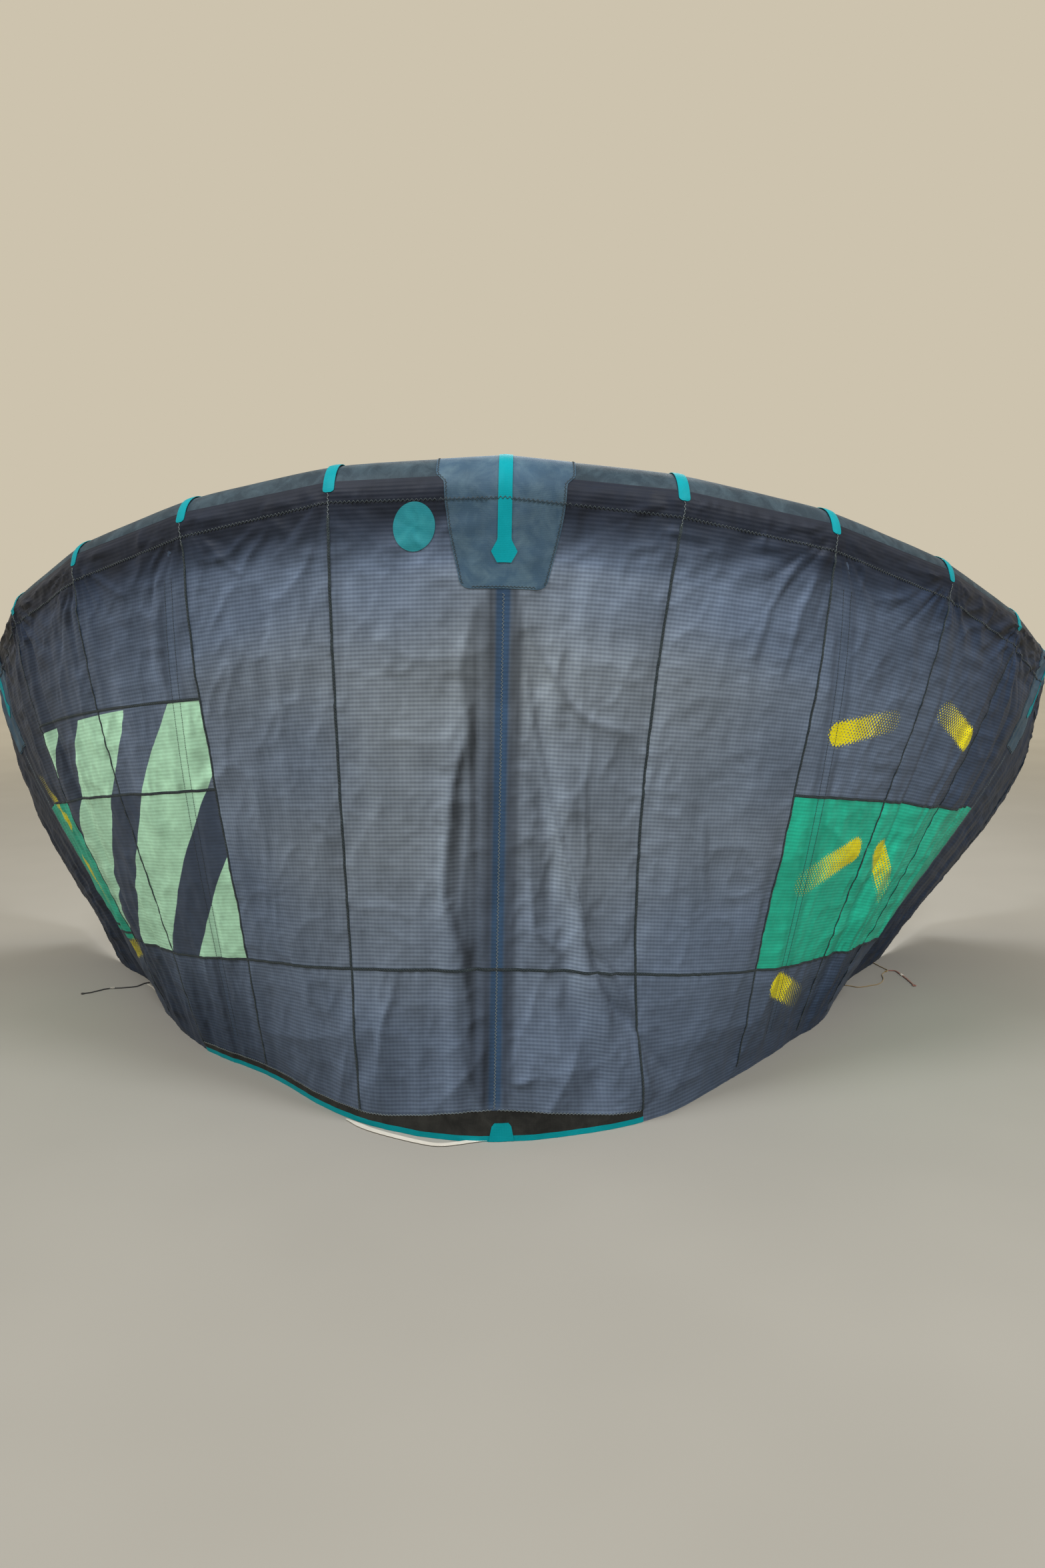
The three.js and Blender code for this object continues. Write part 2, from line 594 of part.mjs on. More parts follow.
// A strut patch's outline, from its foot with cut corners up over the tube.
function patchOutline({ headWidth, footWidth }) {
  const outline = new THREE.Shape();
  outline.moveTo(-footWidth + PATCH_CORNER / 2, 0);
  outline.lineTo(footWidth - PATCH_CORNER / 2, 0);
  outline.lineTo(footWidth, PATCH_CORNER);
  outline.quadraticCurveTo(footWidth + 22, PATCH_SPREADS / 2, headWidth, PATCH_SPREADS);
  outline.lineTo(headWidth, 500);
  outline.lineTo(-headWidth, 500);
  outline.lineTo(-headWidth, PATCH_SPREADS);
  outline.quadraticCurveTo(-footWidth - 22, PATCH_SPREADS / 2, -footWidth, PATCH_CORNER);
  outline.closePath();
  return outline;
}

function strutPatches() {
  const lastRow = LEAVES_ROW + 3; // the first row below every patch
  for (const row of STRUT_PATCHES) {
    const { name, u, reach, patchFoot, strapFoot } = row;
    const rows = [STRAP_TOP_ROW, lastRow];
    const wide = layer({ columns: columnsBetween(u - 0.5, u + 0.5), rows, base: ON_KITE });
    const narrow = layer({ columns: columnsBetween(u - reach, u + reach), rows, base: ON_PATCH });
    add(`patch_${name}`, trim(wide, patchOutline(row), u, patchFoot), 'slate', 0.7);
    add(`strap_${name}`, trim(narrow, strapOutline(STRUT_STRAP), u, strapFoot), 'turquoise');
  }
}

function roundPatch() {
  const { u, t, radius, sides } = ROUND_PATCH;
  const corners = Array.from({ length: sides }, (_, i) => {
    const angle = (2 * Math.PI * i) / sides;
    return new THREE.Vector2(radius * Math.cos(angle), radius * Math.sin(angle));
  });
  const columns = columnsBetween(u - 0.25, u + 0.25);
  const square = layer({ columns, rows: [LEAVES_ROW, LEAVES_ROW + 1], base: ON_KITE });
  add('patch_round', trim(square, new THREE.Shape(corners), u, t), 'turquoise');
}

function trailingEdge() {
  for (const { side, from, to } of EDGE_TRIM) {
    const columns = columnsBetween(from, to);
    add(`band_${side}`, layer({ columns, rows: [BAND_ROW, TAPE_ROW], base: ON_KITE }), 'black');
    add(`tape_${side}`, layer({ columns, rows: [TAPE_ROW, EDGE_ROW], base: ON_KITE }), 'turquoise');
  }
  const { u, footWidth, headWidth, height } = EDGE_PATCH;
  const corners = [[-footWidth, -9], [footWidth, -9], [headWidth, 2 * height], [-headWidth, 2 * height]];
  const outline = new THREE.Shape(corners.map(([x, y]) => new THREE.Vector2(x / 2, y / 2)));
  const columns = columnsBetween(-0.25, 0.25);
  const square = layer({ columns, rows: [BAND_ROW, EDGE_ROW], base: ON_PATCH });
  add('patch_trailing_edge', trim(square, outline, u, 1), 'turquoise');
}

// A cord of many short steps along its route, with its middle at its own radius above the floor.
function cords() {
  for (const { name, diameter, colour, route } of CORDS) {
    const radius = diameter / 2;
    const path = new THREE.CatmullRomCurve3(route.map(([x, y]) => new THREE.Vector3(x, y, radius)));
    const corners = Array.from({ length: CORD_SIDES }, (_, i) => {
      const angle = (2 * Math.PI * (i + 0.5)) / CORD_SIDES;
      return new THREE.Vector2(radius * Math.cos(angle), radius * Math.sin(angle));
    });
    const steps = Math.round(path.getLength() / (3 * diameter));
    const settings = { steps, extrudePath: path, bevelEnabled: false };
    add(name, new THREE.ExtrudeGeometry(new THREE.Shape(corners), settings), colour, 0.9);
  }
}

canopyPanels();
leadingEdgeTube();
struts();
jointStraps();
strutPatches();
roundPatch();
trailingEdge();
cords();

export default kite;
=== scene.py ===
import math

import bmesh
import bpy
import numpy as np
from bpy.props import FloatProperty, FloatVectorProperty, PointerProperty
from mathutils import Matrix, Vector


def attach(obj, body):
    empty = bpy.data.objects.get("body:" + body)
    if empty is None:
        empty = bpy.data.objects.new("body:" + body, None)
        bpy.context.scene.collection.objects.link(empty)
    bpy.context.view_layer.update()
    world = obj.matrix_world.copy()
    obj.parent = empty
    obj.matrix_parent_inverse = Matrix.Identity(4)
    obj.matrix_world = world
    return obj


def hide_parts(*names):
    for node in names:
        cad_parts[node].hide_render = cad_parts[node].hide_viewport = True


bl_info = {
    "name": "Kitesurfing Kite",
    "version": (1, 0, 0),
    "blender": (4, 5, 0),
    "location": "3D View > Sidebar > Kite",
    "description": "Builds an inflatable kite that stands on its trailing edge, with its studio",
    "category": "Object",
}

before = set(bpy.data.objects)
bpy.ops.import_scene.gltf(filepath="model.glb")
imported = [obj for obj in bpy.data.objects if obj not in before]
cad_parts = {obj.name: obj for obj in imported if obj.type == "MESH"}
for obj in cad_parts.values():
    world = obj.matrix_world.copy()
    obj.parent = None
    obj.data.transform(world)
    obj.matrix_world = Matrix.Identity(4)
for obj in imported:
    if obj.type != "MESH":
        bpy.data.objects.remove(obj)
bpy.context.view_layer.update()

# ------------------------------------------------------------------ the kite's sizes, in metres

TIP = 7  # number of the last joint of the leading-edge tube
ORIGIN = np.array([0.0955, 1.0504, 0.0])  # middle of the kite's box, from the centre foot
HEART = np.array([0.0, 1.4, 0.0])  # a point inside the curve: outwards is away from it

# One row a joint of the leading-edge tube, from the left wing tip to the right: the tube's axis
# and radius, the foot of the chord below it, how far the cloth between bulges outwards and sways
# to the right, and the way that the chord's plane faces, in degrees to the right of front.
JOINTS = np.array([
    (-1.745, 2.078, 0.465, 0.036, -1.590, 1.950, 0.130, 0.006, 0.000, -56),
    (-1.790, 1.816, 0.800, 0.048, -1.405, 1.575, 0.000, 0.020, 0.000, -48),
    (-1.682, 1.444, 1.115, 0.058, -1.220, 1.320, 0.000, 0.033, 0.004, -38),
    (-1.418, 0.994, 1.275, 0.068, -1.035, 0.924, 0.000, 0.046, -0.018, -30),
    (-1.095, 0.613, 1.389, 0.078, -0.849, 0.646, 0.000, 0.040, -0.026, -22),
    (-0.734, 0.330, 1.468, 0.086, -0.630, 0.439, 0.000, 0.022, 0.001, -15),
    (-0.353, 0.149, 1.516, 0.092, -0.333, 0.120, 0.000, 0.011, -0.009, -8),
    (0.040, 0.096, 1.526, 0.095, 0.000, 0.000, 0.000, 0.008, 0.000, 0),
    (0.436, 0.137, 1.491, 0.092, 0.372, 0.111, 0.000, 0.009, -0.075, 8),
    (0.822, 0.306, 1.430, 0.086, 0.654, 0.403, 0.000, 0.022, -0.004, 15),
    (1.202, 0.581, 1.332, 0.078, 0.888, 0.701, 0.000, 0.031, -0.024, 22),
    (1.544, 0.956, 1.211, 0.068, 1.020, 0.874, 0.000, 0.035, -0.024, 30),
    (1.838, 1.406, 1.091, 0.058, 1.198, 1.263, 0.000, 0.027, -0.016, 38),
    (1.980, 1.808, 0.815, 0.048, 1.410, 1.570, 0.000, 0.000, 0.000, 48),
    (1.940, 2.070, 0.480, 0.036, 1.640, 1.950, 0.130, 0.006, 0.000, 56),
])

# The struts under the canopy: name, where the head and the foot stand along the kite, the radius
# at the head and at the foot, and how far the cloth on it looks blue rather than dark.
STRUTS = (
    ("strut_centre", 0.0, 0.0, 0.045, 0.031, 1.0),
    ("strut_left_middle", -2.1, -2.4, 0.042, 0.029, 0.1),
    ("strut_right_middle", 2.1, 2.4, 0.042, 0.029, 0.1),
    ("strut_left_outer", -5.0, -5.0, 0.038, 0.026, 0.2),
    ("strut_right_outer", 5.0, 5.0, 0.038, 0.026, 0.2),
)

# Stations down the chord, t, from the seam on the tube to the trailing edge.
LEAVES_TUBE = 0.03
UPPER_SEAM = 0.455
TAPE_TOP = 0.991

# Round the tube, angles go from its top outwards.
LAP_ANGLE = math.radians(60)  # where the canopy is sewn on
LEAVES_ANGLE = math.radians(90)  # where it leaves the tube

# The canopy's panels on each side, from the centre out: its name, between which joints and
# between which of the bands below it is cut, and its cloth on the left and on the right.
PANELS = (
    ("first_upper", 0, 1, (0, 3), "navy", "navy"),
    ("first_lower", 0, 1, (3, 6), "navy", "navy"),
    ("second_upper", 1, 2, (0, 3), "navy", "navy"),
    ("second_lower", 1, 2, (3, 6), "navy", "navy"),
    ("third_top", 2, 3, (0, 2), "navy", "navy"),
    ("third_middle", 2, 3, (2, 3), "mint", "green"),
    ("third_lower", 2, 3, (3, 6), "navy", "navy"),
    ("fourth_top", 3, 4, (0, 2), "navy", "navy"),
    ("fourth_middle", 3, 4, (2, 3), "mint", "green"),
    ("fourth_lower", 3, 4, (3, 6), "navy", "navy"),
    ("outer_top", 4, 5, (0, 2), "navy", "navy"),
    ("outer_lower", 4, 5, (2, 6), "green", "green"),
    ("tip", 5, 7, (0, 6), "navy", "navy"),
)

TUBE_LENGTHS = (("inner", 0, 2), ("middle", 2, 4), ("outer", 4, 7))
SIDES = (("left", -1), ("right", 1))  # and which way each lies from the centre

# The right trailing edge is turned under between these joints, and lies flat on the floor.
TUCK_FROM, TUCK_TO, TUCK_RAMP, TUCK_LEAST, TUCK_LENGTH = 1.0, 5.0, 0.4, 0.008, 0.060
TUCK_ROWS = 6  # of mesh

# Folds in the cloth: width and depth (outwards where positive), how sharp the crest is (2 is
# soft, 1 a crease), and the points (u, t) along it.
FOLDS = (
    (0.034, -0.006, 2.0, ((-0.16, 0.20), (-0.15, 0.35), (-0.22, 0.55), (-0.17, 0.75),
                          (-0.16, 0.97))),
    (0.034, 0.012, 2.0, ((-0.27, 0.30), (-0.32, 0.60), (-0.28, 0.80), (-0.27, 0.97))),
    (0.040, -0.014, 2.0, ((0.14, 0.22), (0.30, 0.42), (0.42, 0.66), (0.62, 0.85), (0.82, 0.97))),
    (0.044, 0.012, 2.0, ((0.30, 0.30), (0.46, 0.50), (0.60, 0.70), (0.80, 0.86), (1.05, 0.97))),
    (0.014, 0.008, 1.3, ((-0.17, 0.18), (-0.25, 0.28), (-0.21, 0.37), (-0.29, 0.45), (-0.34, 0.58),
                         (-0.34, 0.62), (-0.24, 0.70), (-0.18, 0.80), (-0.17, 0.93))),
    (0.010, -0.006, 1.2, ((-0.14, 0.19), (-0.15, 0.42), (-0.14, 0.60), (-0.12, 0.94))),
    (0.010, 0.005, 1.3, ((-0.20, 0.31), (-0.19, 0.50), (-0.23, 0.62), (-0.20, 0.76))),
    (0.012, 0.006, 1.2, ((0.10, 0.18), (0.19, 0.24), (0.42, 0.32), (0.57, 0.35), (0.92, 0.37))),
    (0.012, 0.009, 1.2, ((0.11, 0.24), (0.21, 0.36), (0.32, 0.45), (0.48, 0.56), (0.63, 0.68),
                         (0.76, 0.72), (0.95, 0.81), (1.03, 0.91), (1.08, 0.97))),
    (0.012, -0.008, 1.2, ((0.30, 0.43), (0.45, 0.53), (0.52, 0.62), (0.61, 0.66), (0.70, 0.73),
                          (0.82, 0.79), (0.92, 0.82), (1.15, 0.90), (1.40, 0.98))),
    (0.011, 0.005, 1.3, ((-0.65, 0.73), (-0.70, 0.78), (-0.78, 0.83), (-0.82, 0.89))),
    (0.009, 0.004, 1.2, ((0.21, 0.55), (0.25, 0.67), (0.46, 0.71))),
    (0.009, 0.004, 1.2, ((0.58, 0.43), (0.60, 0.50), (0.63, 0.57))),
    (0.010, 0.005, 1.2, ((1.40, 0.49), (1.42, 0.56), (1.47, 0.64))),
    (0.012, 0.006, 1.2, ((-0.24, 0.84), (-0.20, 0.89), (-0.12, 0.93), (-0.05, 0.95))),
    (0.010, 0.005, 1.2, ((0.06, 0.90), (0.16, 0.91), (0.30, 0.90))),
    (0.012, 0.006, 1.3, ((1.86, 0.03), (1.72, 0.09), (1.60, 0.16), (1.56, 0.24))),
    (0.010, 0.005, 1.3, ((1.92, 0.05), (1.80, 0.16), (1.74, 0.27))),
    (0.016, -0.008, 1.3, ((2.10, 0.03), (2.18, 0.10), (2.14, 0.30), (2.10, 0.46))),
    (0.014, -0.007, 1.3, ((-2.08, 0.04), (-2.25, 0.09), (-2.32, 0.15))),
    (0.010, 0.005, 1.3, ((-1.90, 0.03), (-1.75, 0.08), (-1.58, 0.12))),
    (0.018, -0.009, 1.4, ((-3.02, 0.04), (-3.12, 0.12), (-3.10, 0.22))),
    (0.012, 0.006, 1.3, ((-2.92, 0.04), (-2.72, 0.07), (-2.50, 0.11))),
    (0.018, 0.009, 1.5, ((-4.05, 0.04), (-4.20, 0.20), (-4.30, 0.45), (-4.35, 0.80))),
    (0.020, -0.009, 1.5, ((-3.80, 0.10), (-3.75, 0.30), (-3.70, 0.60), (-3.60, 0.92))),
    (0.018, 0.009, 1.5, ((4.05, 0.04), (4.22, 0.20), (4.30, 0.50), (4.36, 0.90))),
    (0.018, -0.009, 1.5, ((4.10, 0.05), (4.48, 0.22), (4.60, 0.45), (4.66, 0.88))),
    (0.018, 0.008, 1.5, ((3.90, 0.06), (3.78, 0.25), (3.66, 0.55), (3.60, 0.92))),
    (0.016, -0.006, 1.5, ((3.20, 0.08), (3.26, 0.30), (3.30, 0.62), (3.30, 0.92))),
)
FOLD_ACROSS, FOLD_DOWN = 0.40, 1.50  # metres that one step of u and of t is worth to a fold
STRUT_FLAT, STRUT_FREE = 0.022, 0.060  # the cloth lies flat along a strut for this far

# Cloth fans out in creases below each joint: how deep they are, from the centre joint out.
FANS = (0.0, 0.0016, 0.0030, 0.0034, 0.0048, 0.0040, 0.002, 0.0)

# The zigzag seam that closes the canopy round the tube, through these points (u, t).
CLOSING_SEAM = (
    (-6.6, 0.09), (-5.0, 0.075), (-4.0, 0.054), (-3.0, 0.051), (-2.0, 0.041), (-1.0, 0.031),
    (0.0, 0.035), (1.0, 0.040), (2.0, 0.045), (3.0, 0.057), (4.0, 0.069), (5.0, 0.085), (6.6, 0.10),
)

# Where each joint strap ends, a little way down the canopy.
JOINT_STRAP_ENDS = {1: 0.0165, 2: 0.0175, 3: 0.0230, 4: 0.0330}
STRAP_BEGINS = -0.105  # over the top of the tube
OVER_PATCH = 0.0006  # a gap left above a patch, so that what lies over it stays clear of it

# Sailcloth patches over the struts' heads: name, place, foot of the patch and middle of the
# strap's six-sided end, and the patch's half width at the head and at the foot.
STRUT_PATCHES = (
    ("centre", 0.0, 0.163, 0.110, 0.140, 0.088),
    ("left_outer", -5.0, 0.280, 0.165, 0.110, 0.066),
    ("right_outer", 5.0, 0.280, 0.165, 0.110, 0.066),
)

# White lining of the hem where it shows on the floor: its line, and how wide it is.
HEMS = (
    (((-0.470, -0.915), (-0.394, -0.984), (-0.278, -1.052), (-0.217, -1.070), (-0.133, -1.048),
      (-0.089, -1.050)), 0.016),
    (((1.2485, 0.4471), (1.190, 0.365), (1.1346, 0.2829)), 0.007),
    (((-1.3224, 0.2480), (-1.292, 0.208), (-1.2656, 0.1650)), 0.007),
)

# Cords on the floor: the points that each runs through, from the wing to its free end.
PIGTAIL_LEFT = (
    (-1.320, 0.267), (-1.336, 0.254), (-1.352, 0.222), (-1.392, 0.207),
    (-1.443, 0.198), (-1.485, 0.158), (-1.507, 0.146),
)
BRIDLE_RIGHT = (
    (1.0869, 0.1713), (1.110, 0.160), (1.126, 0.148), (1.168, 0.163), (1.210, 0.187),
    (1.238, 0.234), (1.251, 0.291), (1.270, 0.323), (1.287, 0.344), (1.276, 0.390),
    (1.2647, 0.4398),
)
PIGTAIL_RIGHT = ((1.2896, 0.344), (1.312, 0.336), (1.317, 0.297), (1.321, 0.246), (1.322, 0.165))

# Each cord: its route, whether it is two strands side by side, its colour, its length, what is on
# its far end, and its knot: at which point of the route, its radius, how thick the line is that it
# is tied of, how many turns, and of what.
CORDS = (
    ("pigtail_left", PIGTAIL_LEFT, True, "dark", 0.24, "knot",
     (52, 0.0032, 0.0022, 4, "white lining")),
    ("bridle_right", BRIDLE_RIGHT, False, "tan", 0.42, "object",
     (64, 0.0026, 0.0022, 3, "tan braid")),
    ("pigtail_right", PIGTAIL_RIGHT, True, "red", 0.20, "knot",
     (36, 0.0034, 0.0024, 4, "white lining")),
)


def linear(code):
    """The linear colour of an sRGB hex value."""
    parts = [int(code[i:i + 2], 16) / 255 for i in (1, 3, 5)]
    parts = [c / 12.92 if c <= 0.04045 else ((c + 0.055) / 1.055) ** 2.4 for c in parts]
    return (*parts, 1.0)


def tint(name, code, description):
    return FloatVectorProperty(
        name=name, description=description, subtype="COLOR", size=4, min=0, max=1,
        default=linear(code)
    )


def size(name, metres, description):
    return FloatProperty(
        name=name, description=description, default=metres, min=0, unit="LENGTH", precision=4
    )


class KiteCloth(bpy.types.PropertyGroup):
    thickness: size("Cloth thickness", 0.0006, "Canopy cloth with its coating")
    cell: size("Cell", 0.007, "Spacing of the canopy's mesh")
    pitch: size("Ripstop pitch", 0.010, "Spacing of the ripstop threads")
    # The three navy colours below are lit, half-lit and shaded copies of one cloth: painted light
    # and shade.
    light: tint("Cloth in the light", "#86929F", "Navy ripstop where light comes through it")
    middle: tint("Cloth in half light", "#697A94", "Navy ripstop lower down")
    in_shade: tint("Cloth in the shade", "#20314B", "Navy ripstop on the wings")
    # Painted shade: the navy where the tube, a strut or a fold darkens it.
    painted_shade: tint("Backed cloth", "#182030", "Navy ripstop with a tube behind it")
    strut: tint("Cloth on a strut", "#344F70", "Navy ripstop that lies on a strut")
    green: tint("Green", "#22B79C", "Green ripstop")
    # Painted shade: the green where something behind it darkens it.
    green_painted_shade: tint("Deep green", "#0E7A66", "Green ripstop with something behind it")
    mint: tint("Mint", "#B4E8CE", "Mint ripstop")
    bar: tint("Bar", "#3D4A60", "Bars on the mint panels, and the lower ends of the green ones")
    print: tint("Print", "#E6DC12", "Printed dots")


class KiteTrim(bpy.types.PropertyGroup):
    patch: size("Patch thickness", 0.0012, "Straps, patches and bands")
    lift: size("Lift", 0.0009, "How high the first layer starts above the cloth's back")
    strap: size("Joint strap width", 0.028, "Straps over the tube at its joints")
    strut_strap: size("Strut strap width", 0.031, "Straps over the struts' heads")
    thread: size("Thread", 0.0010, "Sewing thread")
    zigzag: size("Zigzag pitch", 0.0105, "Zigzag along the closing seam")
    slate: tint("Slate", "#223543", "Sailcloth of the tube")
    patch_slate: tint("Patch slate", "#345068", "Sailcloth of the patches")
    turquoise: tint("Turquoise", "#00909F", "Straps, tape and small patches")
    insignia: tint("Insignia", "#127C8B", "Round patch")
    black: tint("Black", "#1B1D1E", "Band along the trailing edge")
    bladder: tint("Strut blue", "#2F4058", "Cloth of the struts")
    seam: tint("Seam tape", "#27343D", "Tape under the stitches")
    stitch: tint("Stitch", "#7E8F95", "Light sewing thread")
    lining: tint("Lining", "#D8D6CF", "White lining of the hem")


class KiteCords(bpy.types.PropertyGroup):
    pigtail: size("Pigtail width", 0.006, "Doubled line at the wing tips")
    bridle: size("Line diameter", 0.003, "Single line")
    dark: tint("Dark line", "#25262A", "Braid of the left pigtail")
    tan: tint("Tan line", "#A8946F", "Braid of the right bridle line")
    red: tint("Red line", "#8E3B36", "Braid of the right pigtail")


class KiteStage(bpy.types.PropertyGroup):
    floor: tint("Floor", "#A6A5A1", "Plain pale floor")
    far: tint("Far floor", "#DCDAD4", "Floor far behind the kite")
    air: tint("Background", "#CDC3AE", "Plain background and soft light from all round")


# ------------------------------------------------------------------ the kite's surface


def smoothstep(x, low, high):
    f = np.clip((x - low) / (high - low), 0, 1)
    return f * f * (3 - 2 * f)


def unit(v):
    return v / np.maximum(np.linalg.norm(v, axis=-1, keepdims=True), 1e-12)


def dot(a, b):
    return (a * b).sum(-1)


def run_of(points):
    """How far along a line each of its points is."""
    return np.concatenate([[0], np.cumsum(np.linalg.norm(np.diff(points, axis=0), axis=1))])


def along_line(run, values, count):
    """The values at equal steps along a line, given how far along it each of them is."""
    even = np.linspace(0, run[-1], count)
    return np.stack([np.interp(even, run, values[:, i]) for i in range(values.shape[1])], -1)


def angles_round(sides):
    """Angles at equal steps once round."""
    return np.arange(sides) * 2 * np.pi / sides


CHORD_STEPS = 320
AXIS, RADIUS, FOOT = JOINTS[:, :3], JOINTS[:, 3], JOINTS[:, 4:7]
TURN = np.radians(JOINTS[:, 9])
OUT = np.stack([np.sin(TURN), -np.cos(TURN), 0 * TURN], -1)
ACROSS = np.stack([np.cos(TURN), np.sin(TURN), 0 * TURN], -1)
CHORD = unit(FOOT - AXIS)
DOWN = unit(CHORD - OUT * dot(CHORD, OUT)[:, None])
ALONG = unit(np.vstack([AXIS[1:], AXIS[-1:]]) - np.vstack([AXIS[:1], AXIS[:-1]]))
SQUARE = unit(OUT - ALONG * dot(OUT, ALONG)[:, None])
ASKEW = 1 / dot(OUT, SQUARE)
TUBE_RUN = run_of(AXIS)


def chord_curve(k):
    """Points at equal steps down the chord of joint k, from where the cloth leaves the tube."""
    start = AXIS[k] + OUT[k] * RADIUS[k] * ASKEW[k]
    third = np.linalg.norm(FOOT[k] - start) / 3
    belly = OUT[k] * JOINTS[k, 7] + ACROSS[k] * JOINTS[k, 8]
    hull = (start, start + DOWN[k] * third + belly, FOOT[k] - CHORD[k] * third + belly, FOOT[k])
    s = np.linspace(0, 1, 2000)[:, None]
    weights = ((1 - s) ** 3, 3 * s * (1 - s) ** 2, 3 * s * s * (1 - s), s ** 3)
    points = sum(w * p for w, p in zip(weights, hull))
    return along_line(run_of(points), points, CHORD_STEPS + 1)


CHORDS = np.stack([chord_curve(k) for k in range(len(JOINTS))])


def ring(k, angle, offset=0.0):
    """A point on the ring round the tube at joint k."""
    high, wide = RADIUS[k] + offset, RADIUS[k] * ASKEW[k] + offset
    return (AXIS[k] - DOWN[k] * (np.cos(angle) * high)[..., None]
            + OUT[k] * (np.sin(angle) * wide)[..., None])


def section_point(joint, t):
    k = np.clip(joint, -TIP, TIP) + TIP
    f = np.clip((t - LEAVES_TUBE) / (1 - LEAVES_TUBE), 0, 1) * CHORD_STEPS
    i = np.minimum(f.astype(int), CHORD_STEPS - 1)
    below = CHORDS[k, i] + (CHORDS[k, i + 1] - CHORDS[k, i]) * (f - i)[..., None]
    on_tube = ring(k, LAP_ANGLE + (LEAVES_ANGLE - LAP_ANGLE) * t / LEAVES_TUBE)
    return np.where((t > LEAVES_TUBE)[..., None], below, on_tube)


def plain_point(u, t):
    """The uncreased cloth: straight between joints on the tube, and a smooth curve lower down."""
    u, t = np.broadcast_arrays(np.asarray(u, float), np.asarray(t, float))
    joint = np.clip(np.floor(u), -TIP, TIP - 1).astype(int)
    f = (u - joint)[..., None]
    a, b, c, d = (section_point(joint + step, t) for step in (-1, 0, 1, 2))
    start, end = (c - a) / 2 - (c - b), (d - b) / 2 - (c - b)
    bow = start * f * (1 - f) ** 2 - end * f * f * (1 - f)
    point = b + (c - b) * f + smoothstep(t, 0.05, 0.28)[..., None] * bow
    point[..., 2] = np.maximum(point[..., 2], 0)
    return point


def outwards(u, t):
    """The way out of the cloth: level at the foot, so that every layer stands on the floor."""
    across = plain_point(np.minimum(u + 0.02, TIP), t) - plain_point(np.maximum(u - 0.02, -TIP), t)
    down = plain_point(u, np.minimum(t + 0.01, 1)) - plain_point(u, t - 0.01)
    normal = unit(np.cross(down, across))
    normal *= np.sign(dot(normal, plain_point(u, t) - HEART))[..., None]
    normal[..., 2] *= 1 - smoothstep(t, 0.9, 1)
    return unit(normal)


def noise(x, y, seed):
    """Smooth noise from -1 to 1 with about one bump a unit."""
    i, j = np.floor(x), np.floor(y)
    fx, fy = x - i, y - j
    fx, fy = fx * fx * (3 - 2 * fx), fy * fy * (3 - 2 * fy)

    def corner(a, b):
        h = np.sin((i + a) * 127.1 + (j + b) * 311.7 + seed * 74.7) * 43758.5453
        return (h - np.floor(h)) * 2 - 1

    top = corner(0, 0) * (1 - fx) + corner(1, 0) * fx
    bottom = corner(0, 1) * (1 - fx) + corner(1, 1) * fx
    return top * (1 - fy) + bottom * fy


def crumple(x, y, seed):
    """Noise with sharp creases, as in thin coated cloth."""
    wx = x + 0.6 * noise(x * 0.7, y * 0.7, seed + 5)
    wy = y + 0.6 * noise(x * 0.7, y * 0.7, seed + 9)
    return 1 - 2 * np.abs(noise(wx, wy, seed)) ** 0.8


def along_path(path, u, t):
    """How far each place is from a path, and how far along the path it is."""
    x, y = u * FOLD_ACROSS, t * FOLD_DOWN
    points = [(a * FOLD_ACROSS, b * FOLD_DOWN) for a, b in path]
    nearest, along = np.full(np.shape(x), np.inf), np.zeros(np.shape(x))
    for i, ((ax, ay), (bx, by)) in enumerate(zip(points, points[1:])):
        dx, dy = bx - ax, by - ay
        f = np.clip(((x - ax) * dx + (y - ay) * dy) / (dx * dx + dy * dy), 0, 1)
        distance = np.hypot(x - ax - f * dx, y - ay - f * dy)
        closer = distance < nearest
        nearest = np.where(closer, distance, nearest)
        along = np.where(closer, (i + f) / (len(points) - 1), along)
    return nearest, along


def from_strut(u, t, strut):
    """Metres across the cloth from a strut's middle line."""
    _, head, foot = strut[:3]
    return (u - head - (foot - head) * t) * FOLD_ACROSS


def strut_distance(u, t):
    return np.min([np.abs(from_strut(u, t, strut)) for strut in STRUTS], axis=0)


def fold_height(u, t):
    height = np.zeros(np.shape(u))
    for width, depth, sharp, path in FOLDS:
        low_u, high_u = min(p[0] for p in path) - 0.3, max(p[0] for p in path) + 0.3
        near = (u > low_u) & (u < high_u)
        if not near.any():
            continue
        distance, along = along_path(path, u[near], t[near])
        shape = np.sqrt(np.maximum(np.sin(np.pi * along), 0))
        height[near] += depth * (shape * np.exp(-((distance / width) ** sharp)))
    return height * smoothstep(strut_distance(u, t), STRUT_FLAT, STRUT_FREE)


def fan_height(u, t):
    """Creases that spread out below each joint, where the cloth is pulled in."""
    height = np.zeros(np.shape(u))
    for joint in range(-TIP, TIP + 1):
        depth = FANS[abs(joint)]
        x, y = (u - joint) * FOLD_ACROSS, (t - 0.012) * FOLD_DOWN
        reach = np.hypot(x, y)
        near = (reach < 0.5) & (depth > 0)
        if not near.any():
            continue
        angle, r = np.arctan2(x[near], y[near]), reach[near]
        rays = np.abs(noise(angle * 4.2 + 3.1 * joint, r * 5, 11 + joint)) ** 0.7 * 2 - 1
        rays += 0.6 * noise(angle * 9.0 - joint, r * 9, 31 + joint)
        fade = smoothstep(r, 0.02, 0.07) * np.exp(-r / (0.09 + 0.02 * abs(joint)))
        height[near] += depth * 2.4 * rays * fade * smoothstep(np.cos(angle), -0.3, 0.2)
    return height


